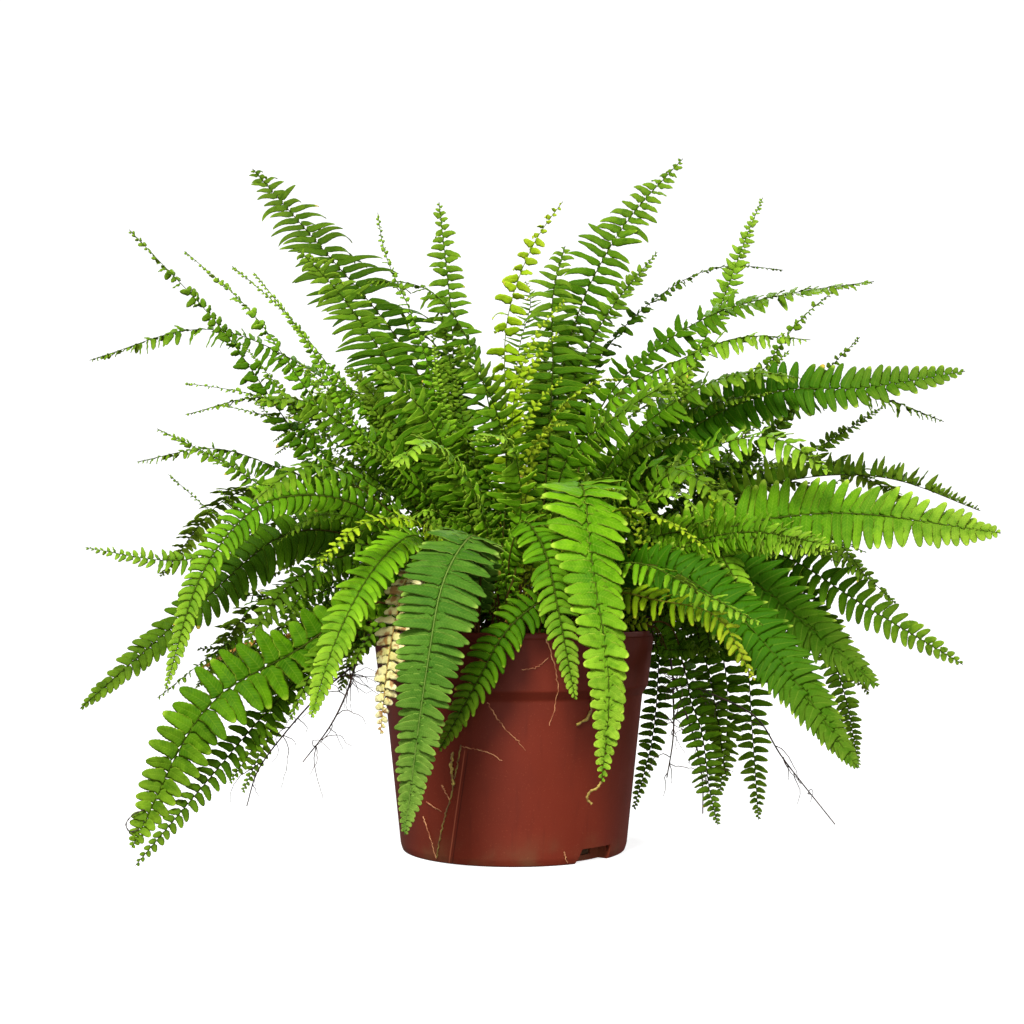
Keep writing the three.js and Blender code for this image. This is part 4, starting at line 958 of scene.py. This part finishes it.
def leaf_material(tone):
    """Leaflets with a pale midrib, slanting side veins, a bright edge and uneven growth, with painted shade
    at their bases and painted light and shade on some whole fronds.
    """
    deep, fresh, edge, stem = TONES[tone]
    withered = tone in WITHERED_TONES
    shader = Shader("leaf_" + tone)
    u, v, chance = shader.split(shader.attribute("leaf"))
    t, frond_chance, on_rib = shader.split(shader.attribute("tint"))
    across = shader.math("ABSOLUTE", v)

    patch = shader.noise(38, 4)
    blend = shader.math("MULTIPLY_ADD", chance, 0.45, shader.times(patch, 0.5))
    blend = shader.math("SUBTRACT", blend, 0.12)
    blend = shader.math("MULTIPLY_ADD", frond_chance, 0.3, blend, clamp=True)
    shader.color = shader.mix(blend, deep, fresh)
    shader.coat(edge, shader.ramp(t, 0.6, 1, 0, 0.3))
    # Painted shade: each leaflet is darker where it meets the rib among its neighbours, fading out along
    # it.
    shader.coat(deep, shader.ramp(u, 0, 0.75, 0.5, 0))
    mottle = shader.ramp(shader.noise(130, 3), 0.48, 0.66, 0, 0.55)
    shader.coat(deep, mottle, shader.ramp(u, 0.5, 0.95, 1, 0.3))
    # Fronds whose habit's shade is low are darkened towards a deep green: partly painted shade.
    if not withered:
        shader.coat("244a02", shader.ramp(frond_chance, DARK_FROND, -0.4, 0.5, 0))

    slant = shader.math("MULTIPLY_ADD", u, 11, shader.times(across, -1.5))
    vein = shader.ramp(shader.math("PINGPONG", slant, 0.5), 0, 0.13, 1, 0)
    shader.coat(edge, vein, shader.ramp(frond_chance, DARK_FROND, 0, 0.03, 0.12))
    middle = shader.ramp(across, 0.03, 0.11, 1, 0)
    shader.coat(edge, middle, 0.07)
    rim = shader.ramp(across, 0.82, 1, 0, 0.55)
    shader.coat(edge, rim, shader.ramp(frond_chance, DARK_FROND, 0, 0.1, 1))
    shader.coat(edge, shader.ramp(u, 0.82, 1, 0, 0.6), shader.ramp(chance, 0.3, 0.9))
    shader.coat("b09a3a", shader.ramp(chance, 0.988, 0.992), shader.ramp(u, 0.82, 0.95))
    if withered:
        shader.coat("8a5226", shader.ramp(shader.noise(160, 5), 0.5, 0.62), 0.8)
    pale = shader.mix(0.45, shader.color, edge)
    shader.coat(pale, shader.attribute("under", "Fac"), 0.5)
    shader.coat(shader.mix(shader.ramp(t, 0.08, 0.5), "4a3018", stem), on_rib)

    relief = shader.math("MULTIPLY_ADD", vein, -0.5, shader.times(patch, 0.5))
    shader.bump(shader.math("SUBTRACT", relief, middle), 0.35, 0.0004)
    dullness = 0.7 if withered else 0.34
    roughness = shader.math("MULTIPLY_ADD", shader.noise(90, 2), 0.25, dullness)
    return shader.finish(roughness, 0.08, IOR=LEAF_IOR)


# The seam on the pot's front, in metres: how far it leans per metre of height, where it would
# meet the floor, and the shift of its bright edge from its dark one
SEAM_LEAN = 0.144
SEAM_FOOT = -0.0432
SEAM_SHIFT = 0.0024
SEAM_TOP = 0.08


def pot_material():
    """Moulded red brown plastic, dulled by handling, with soil dust near its foot and a seam."""
    shader = Shader("pot_plastic")
    shader.color = shader.mix(shader.ramp(shader.noise(9, 4), 0.35, 0.7), "591e10", "672313")
    shader.coat("8e4c30", shader.ramp(shader.noise(900, 2), 0.62, 0.75), 0.25)
    upright = {"Vector": shader.place(), "Scale": (60, 60, 6)}
    stretched = shader.feed(shader.node("ShaderNodeMapping"), upright).outputs[0]
    streak = shader.ramp(shader.noise(3, 5, stretched), 0.52, 0.8)
    shader.coat("44160d", streak, 0.3)
    x, y, z = shader.split(shader.place())
    dust = shader.ramp(shader.noise(45, 6), 0.4, 0.75)
    shader.coat("5d4a30", shader.ramp(z, 0, 0.03, 1, 0), dust, 0.4)

    below_top = shader.ramp(z, SEAM_TOP, SEAM_TOP + 0.003, 1, 0)
    front = shader.times(shader.ramp(y, -0.05, -0.03, 1, 0), below_top)
    beside = shader.math("SUBTRACT", x, shader.math("MULTIPLY_ADD", z, SEAM_LEAN, SEAM_FOOT))
    for shift, code in ((0, "3c120a"), (SEAM_SHIFT, "985038")):
        away = shader.math("ABSOLUTE", shader.math("ADD", beside, shift))
        shader.coat(code, shader.ramp(away, 0.0002, 0.0006, 0.7, 0), front)
    shader.bump(shader.math("MULTIPLY_ADD", streak, 0.6, shader.noise(500, 3)), 0.25, 0.0002)
    return shader.finish(shader.math("MULTIPLY_ADD", shader.noise(60, 4), 0.25, 0.42), 0.15)


def grained(name, colors, grain, spread, relief, surface):
    """A material of two colours that follow one grain, which also stands out in relief."""
    shader = Shader(name)
    height = shader.noise(*grain)
    shader.color = shader.mix(shader.ramp(height, *spread), *colors)
    shader.bump(height, *relief)
    return shader.finish(*surface)


def earth_material(name, dark, light, scale):
    return grained(name, (dark, light), (scale, 6), (0.3, 0.7), (0.8, 0.002), (0.92, 0.2))


def root_material(name, dark, light):
    return grained(name, (dark, light), (220, 4), (0.35, 0.7), (0.5, 0.0003), (0.62, 0.35))


# ---------------------------------------------------------------- pot and soil

def lathe(profile, sides):
    """Points and faces of a closed turned form. The profile starts and ends on the axis."""
    rings = profile[1:-1]
    turn = np.arange(sides) / sides * 2 * math.pi
    points = [(0, 0, profile[0][1])]
    for radius, height in rings:
        points += [(radius * c, radius * s, height) for c, s in zip(np.cos(turn), np.sin(turn))]
    points.append((0, 0, profile[-1][1]))
    faces = []
    for k in range(sides):
        after = (k + 1) % sides
        faces.append((0, 1 + after, 1 + k))
        for ring in range(len(rings) - 1):
            low = 1 + ring * sides
            faces.append((low + k, low + after, low + sides + after, low + sides + k))
        last = 1 + (len(rings) - 1) * sides
        faces.append((last + k, last + after, len(points) - 1))
    return points, faces


def sector(inner, outer, middle, half, bottom, top, slant=0, steps=16):
    """Points and faces of a block between two radii and two angles, with one slanted side."""
    points = []
    corners = ((inner, bottom, 0), (outer, bottom, 0), (outer, top, slant), (inner, top, slant))
    for radius, height, less in corners:
        turn = np.radians(np.linspace(middle - half + less, middle + half, steps + 1))
        points += [(radius * math.cos(a), radius * math.sin(a), height) for a in turn]
    row = steps + 1
    faces = []
    for k in range(steps):
        for corner in range(4):
            low, high = corner * row, (corner + 1) % 4 * row
            faces.append((low + k, low + k + 1, high + k + 1, high + k))
    faces.append((0, row, 2 * row, 3 * row))
    faces.append((steps, 3 * row + steps, 2 * row + steps, row + steps))
    return points, faces


def carve(piece, operation, blocks):
    """Joins blocks to a piece or cuts them from it."""
    for points, faces in blocks:
        mesh = mesh_from("block", points, faces)
        block = linked("block", mesh)
        modifier = piece.modifiers.new("carve", "BOOLEAN")
        modifier.operation = operation
        modifier.solver = "EXACT"
        modifier.object = block
        seen = piece.evaluated_get(bpy.context.evaluated_depsgraph_get())
        old, carved = piece.data, bpy.data.meshes.new_from_object(seen)
        piece.modifiers.clear()
        piece.data = carved
        bpy.data.objects.remove(block)
        bpy.data.meshes.remove(old)
        bpy.data.meshes.remove(mesh)


def rounded(corners, radius, steps=4):
    """A profile with each inner corner turned into a short arc."""
    corners = [np.array(c, float) for c in corners]
    line = [corners[0]]
    for before, corner, after in zip(corners, corners[1:], corners[2:]):
        into, out = before - corner, after - corner
        reach = min(radius, 0.45 * np.linalg.norm(into), 0.45 * np.linalg.norm(out))
        start = corner + unit(into) * reach
        end = corner + unit(out) * reach
        for k in range(steps + 1):
            share = k / steps
            line.append((1 - share) ** 2 * start + 2 * share * (1 - share) * corner + share ** 2 * end)
    line.append(corners[-1])
    return [tuple(p) for p in line]


def make_pot():
    """The shell, with a block behind each drain notch that the notch and its hole are cut from."""
    corners = [
        (0, 0), (BASE_RADIUS - 1.5, 0), (BASE_RADIUS + 0.1, 5),
        (BODY_TOP_RADIUS, BODY_TOP - 3), (BAND_RADIUS - 0.3, BAND_BOTTOM - 1.2), (BAND_RADIUS, BAND_BOTTOM),
        (RIM_RADIUS - 0.6, POT_HEIGHT - 4.5), (RIM_RADIUS, POT_HEIGHT - 4), (RIM_RADIUS, POT_HEIGHT),
        (RIM_RADIUS - WALL - 0.4, POT_HEIGHT), (BAND_RADIUS - WALL, BAND_BOTTOM),
        (BODY_TOP_RADIUS - WALL, BODY_TOP), (BASE_RADIUS - WALL, FLOOR + 3),
        (BASE_RADIUS - WALL - 3, FLOOR), (0, FLOOR),
    ]
    points, faces = lathe(rounded(corners, POT_CORNER), POT_SIDES)
    pot = mesh_object("pot_fine", points, faces, pot_material())
    inner = BASE_RADIUS - NOTCH_DEPTH
    blocks, notches, holes = [], [], []
    for angle in NOTCH_ANGLES:
        blocks.append(sector(inner - WALL, BASE_RADIUS - 2.8, angle, NOTCH_HALF_ANGLE + 1.6,
                             1, NOTCH_HEIGHT + WALL))
        notches.append(sector(inner, RIM_RADIUS, angle, NOTCH_HALF_ANGLE, -1, NOTCH_HEIGHT, NOTCH_SLANT))
        holes.append(sector(inner - WALL - 1, inner + 1, angle, 5, FLOOR + 1, NOTCH_HEIGHT - 2))
    carve(pot, "UNION", blocks)
    carve(pot, "DIFFERENCE", notches + holes)
    pot.data.shade_smooth()
    pot.data.set_sharp_from_angle(angle=math.radians(35))
    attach(pot, "root")
    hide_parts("pot")


def on_pot(angle, height, out):
    """A place outside the pot, by its angle from the front, its height and how far it stands out."""
    body = BASE_RADIUS + (BODY_TOP_RADIUS - BASE_RADIUS) * height / BODY_TOP
    band = BAND_RADIUS + (RIM_RADIUS - BAND_RADIUS) * (height - BAND_BOTTOM) / (POT_HEIGHT - BAND_BOTTOM)
    step = smooth_step(height, BODY_TOP - 4, BAND_BOTTOM)
    radius = body + (band - body) * step + out
    around = math.radians(angle)
    return radius * math.sin(around), -radius * math.cos(around), height


def pot_line(places, out, rng, steps=30):
    """A line along the pot through places given by angle and height, with small wanders."""
    line = curve_through([(angle, height, 0) for angle, height in places], steps)
    line[1:-1, :2] += rng.normal(0, 0.25, (steps - 1, 2))
    return np.array([on_pot(angle, height, out) for angle, height, _ in line])


def make_pot_roots(rng):
    """Pale old roots, a line of moss and small dry bits that cling to the pot."""
    roots = []
    for places in POT_ROOTS:
        line = pot_line(places, POT_ROOT_RADIUS, rng)
        roots.append((line, np.linspace(POT_ROOT_RADIUS * 1.2, POT_ROOT_RADIUS * 0.6, len(line))))
    strands("pot_roots", roots, root_material("old_root", "8a4a2c", "c08a5c"))
    moss = pot_line(MOSS_LINE, 0.1, rng, 60)
    radii = rng.uniform(0.35, 0.75, len(moss))
    strands("moss_line", [(moss, radii)], root_material("moss", "5a3c1c", "7c6c2c"))
    bits = []
    for places in HANGING_BITS:
        line = pot_line(places, 1.4, rng, 24)
        bits.append((line, 0.5 + 0.9 * rng.random(len(line))))
    strands("dry_bits", bits, root_material("dry_bit", "6a5220", "a89440"))


def make_tip_bits(ribs):
    """The dead thread and the dry curl."""
    for name, (node, steps, radius, colors) in TIP_BITS.items():
        tip = next(rib["points"][-1] for rib in ribs if rib["node"] == node)
        line = curve_through([tuple(tip + step) for step in steps], 24)
        radii = radius * (0.75 + 0.25 * np.sin(np.arange(len(line)) * 1.9))
        strands(name, [(line, radii)], root_material(name, *colors))


def make_soil(rng):
    clear = WALL + GAP
    top = [(share * SOIL_RADIUS, soil_height(share * SOIL_RADIUS, 0))
           for share in np.linspace(1, 0.02, 26)]
    profile = [
        (0, FLOOR + GAP), (BASE_RADIUS - clear - 3.2, FLOOR + GAP), (BASE_RADIUS - clear, FLOOR + 3.2),
        (BODY_TOP_RADIUS - clear, BODY_TOP + GAP), (BAND_RADIUS - clear - 0.6, BAND_BOTTOM + 0.5),
        *top, (0, SOIL_EDGE_HEIGHT + SOIL_MOUND),
    ]
    points, faces = lathe(profile, SOIL_SIDES)
    points = np.array(points)
    on_top = points[:, 2] > SOIL_EDGE_HEIGHT + 0.4
    points[:, 2] += on_top * rng.normal(0, CRUMB, len(points))
    soil = mesh_object("soil_fine", points, faces, earth_material("soil", "2a1a10", "5c4128", 160), 60)
    inner = BASE_RADIUS - NOTCH_DEPTH - WALL - GAP
    carve(soil, "DIFFERENCE", [
        sector(inner, RIM_RADIUS, angle, NOTCH_HALF_ANGLE + 2, 0, NOTCH_HEIGHT + WALL + GAP)
        for angle in NOTCH_ANGLES])
    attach(soil, "root")
    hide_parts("soil")


def make_litter(rng):
    """Bark chips that lie on the soil."""
    points, faces = [], []
    for _ in range(CHIPS):
        radius = LITTER_RADIUS * rng.random() ** 0.5
        around = rng.uniform(0, 2 * math.pi)
        x, y = radius * math.cos(around), radius * math.sin(around)
        sizes = (CHIP_LENGTHS, CHIP_WIDTHS, CHIP_THICKNESSES)
        long, wide, thick = (rng.uniform(*size) for size in sizes)
        heading, tilt = rng.uniform(0, 2 * math.pi), rng.normal(0, 0.25)
        first = len(points)
        for level in (-0.5, 0.5):
            for i in range(4):
                for j in (-0.5, 0.5):
                    a = (i / 3 - 0.5) * long * rng.uniform(0.8, 1.1)
                    b = j * wide * (1 - 0.5 * abs(i / 1.5 - 1)) * rng.uniform(0.7, 1.1)
                    c = level * thick + 0.5 * thick * math.sin(i * 1.2) + a * math.sin(tilt)
                    px = x + a * math.cos(heading) - b * math.sin(heading)
                    py = y + a * math.sin(heading) + b * math.cos(heading)
                    points.append((px, py, soil_height(px, py) + 0.4 + c))
        quads = [(2 * i + a, 2 * i + b, 2 * i + c, 2 * i + d) for i in range(3)
                 for a, b, c, d in ((0, 1, 3, 2), (8, 10, 11, 9), (0, 2, 10, 8), (1, 9, 11, 3))]
        for quad in [*quads, (0, 8, 9, 1), (6, 7, 15, 14)]:
            faces.append([first + corner for corner in quad])
    litter = mesh_object("bark_litter", points, faces, earth_material("bark", "3a2415", "7d5a38", 240), 30)
    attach(litter, "root")


# ---------------------------------------------------------------- runners and roots

def strands(name, lines, material, sides=6):
    """One piece of several closed thin strands, each a line and its radii."""
    points, faces, count = [], [], 0
    for line, radii in lines:
        some, quads = tube(line, radii, sides)
        points.append(some)
        faces += (quads + count).tolist()
        count += len(some)
    piece = mesh_object(name, np.vstack(points), faces, material, 80)
    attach(piece, "root")
    return piece


def wander_from(start, heading, length, rng, steps=14, fall=0.12, wiggle=0.22):
    """A thin line that grows from a place, wanders and sinks."""
    heading = np.array(heading, float)
    line = [np.array(start, float)]
    for _ in range(steps):
        heading = unit(heading + rng.normal(0, wiggle, 3) + np.array((0, 0, -fall)))
        line.append(line[-1] + heading * length / steps)
    return np.array(line)


def make_runners(ribs, material, rng):
    """Wiry runners over the rim, with twigs along them and a burst of hairs at each knot."""
    for name, _, _, _ in RUNNERS:
        lines = []
        for k, rib in enumerate(r for r in ribs if r["node"] == name):
            line = smoothed(rib["points"], 1)
            thick, thin = (1.3, 1) if k == 0 else (1, 0.5)
            lines.append((line, np.linspace(RUNNER_RADIUS * thick, RUNNER_RADIUS * thin, len(line))))
            for _ in range(0 if k == 0 else TWIGS):
                sample = rng.integers(6, len(line) - 2)
                heading = unit(rng.normal(0, 1, 3))
                twig = wander_from(line[sample], heading, rng.uniform(*TWIG_LENGTHS), rng)
                twig[:, 2] = np.maximum(twig[:, 2], 1)
                lines.append((twig, np.linspace(*TWIG_RADII, len(twig))))
        for knot in KNOTS[name]:
            for _ in range(HAIRS):
                heading = unit(rng.normal(0, 1, 3) * (1, 0.5, 1))
                hair = wander_from(knot, heading, rng.uniform(*HAIR_LENGTHS), rng, fall=0.05)
                lines.append((hair, np.linspace(*HAIR_RADII, len(hair))))
        piece = strands(name + "_fine", lines, material)
        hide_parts(name)


# ---------------------------------------------------------------- stage and light

def make_stage():
    """A white studio sweep, which is hidden from bounce light and from reflections."""
    shader = Shader("floor", (0.34, 0.34, 0.34, 1))
    white = {"Emission Color": (1, 1, 1, 1), "Emission Strength": 0.82}
    material = shader.finish(0.9, 0.1, **white)
    size, back, height, bend = 3000, 2600, 2600, 700
    profile = [(-size, 0), (back - bend, 0)]
    profile += [(back - bend + bend * math.sin(a), bend - bend * math.cos(a))
                for a in np.linspace(0.15, 1.57, 10)]
    profile.append((back, height))
    points = [(x, y, z) for y, z in profile for x in (-size, size)]
    faces = [(2 * k, 2 * k + 1, 2 * k + 3, 2 * k + 2) for k in range(len(profile) - 1)]
    floor = mesh_object("floor", points, faces, material)
    floor.visible_diffuse = False
    floor.visible_glossy = False


def area_light(name, place, aim, size, power):
    data = bpy.data.lights.new(name, "AREA")
    data.shape = "DISK"
    data.size = size
    data.energy = power
    light = linked(name, data)
    light.location = place
    light.rotation_euler = (Vector(aim) - Vector(place)).to_track_quat("-Z", "Y").to_euler()


def make_light():
    world = bpy.data.worlds.new("studio")
    world.use_nodes = True
    background = world.node_tree.nodes["Background"]
    background.inputs["Color"].default_value = (1, 1, 1, 1)
    background.inputs["Strength"].default_value = 0.17
    bpy.context.scene.world = world
    area_light("key", (-0.5, -1.8, 1.7), (0, 0, 0.25), 0.8, 105)
    area_light("fill", (-0.1, -2.4, 0.2), (0, 0, 0.15), 1.6, 24)
    area_light("side", (1.7, -1.7, 0.25), (0.15, 0, 0.1), 0.9, 12)
    area_light("back", (0.4, 1.6, 2), (0, 0.1, 0.2), 0.8, 40)
    for hand in (-1, 1):
        area_light("wing", (hand * 2, 0.8, 0.8), (hand * 0.1, 0.1, 0.2), 1, 26)


def make_camera():
    data = bpy.data.cameras.new("camera")
    data.lens = CAMERA_LENS
    data.sensor_width = 36
    data.shift_y = CAMERA_SHIFT
    camera = linked("camera", data)
    camera.location = CAMERA_PLACE
    camera.rotation_euler = (math.radians(90), 0, 0)
    bpy.context.scene.camera = camera


make_camera()
bpy.context.scene.view_settings.view_transform = "Standard"
make_stage()
make_light()

ribs = all_ribs()
ribs += side_shoots(ribs) + crown_shoots(ribs)
leaf_materials = {tone: leaf_material(tone) for tone in TONES}
for index, (node, tone, _, _) in enumerate(CLUMPS):
    leafage = Leafage()
    rng = np.random.default_rng(SEED + index)
    for rib in ribs:
        if rib["node"] == node:
            frond(leafage, rib, rng)
    piece = leafage.object(node.replace("frond", "leafy"), leaf_materials[tone])
    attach(piece, "root")
    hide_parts(node)

make_pot()
make_pot_roots(np.random.default_rng(SEED + 3))
make_tip_bits(ribs)
make_soil(np.random.default_rng(SEED))
make_litter(np.random.default_rng(SEED + 1))
make_runners(ribs, root_material("runner", "1f1410", "4a2f22"), np.random.default_rng(SEED + 2))
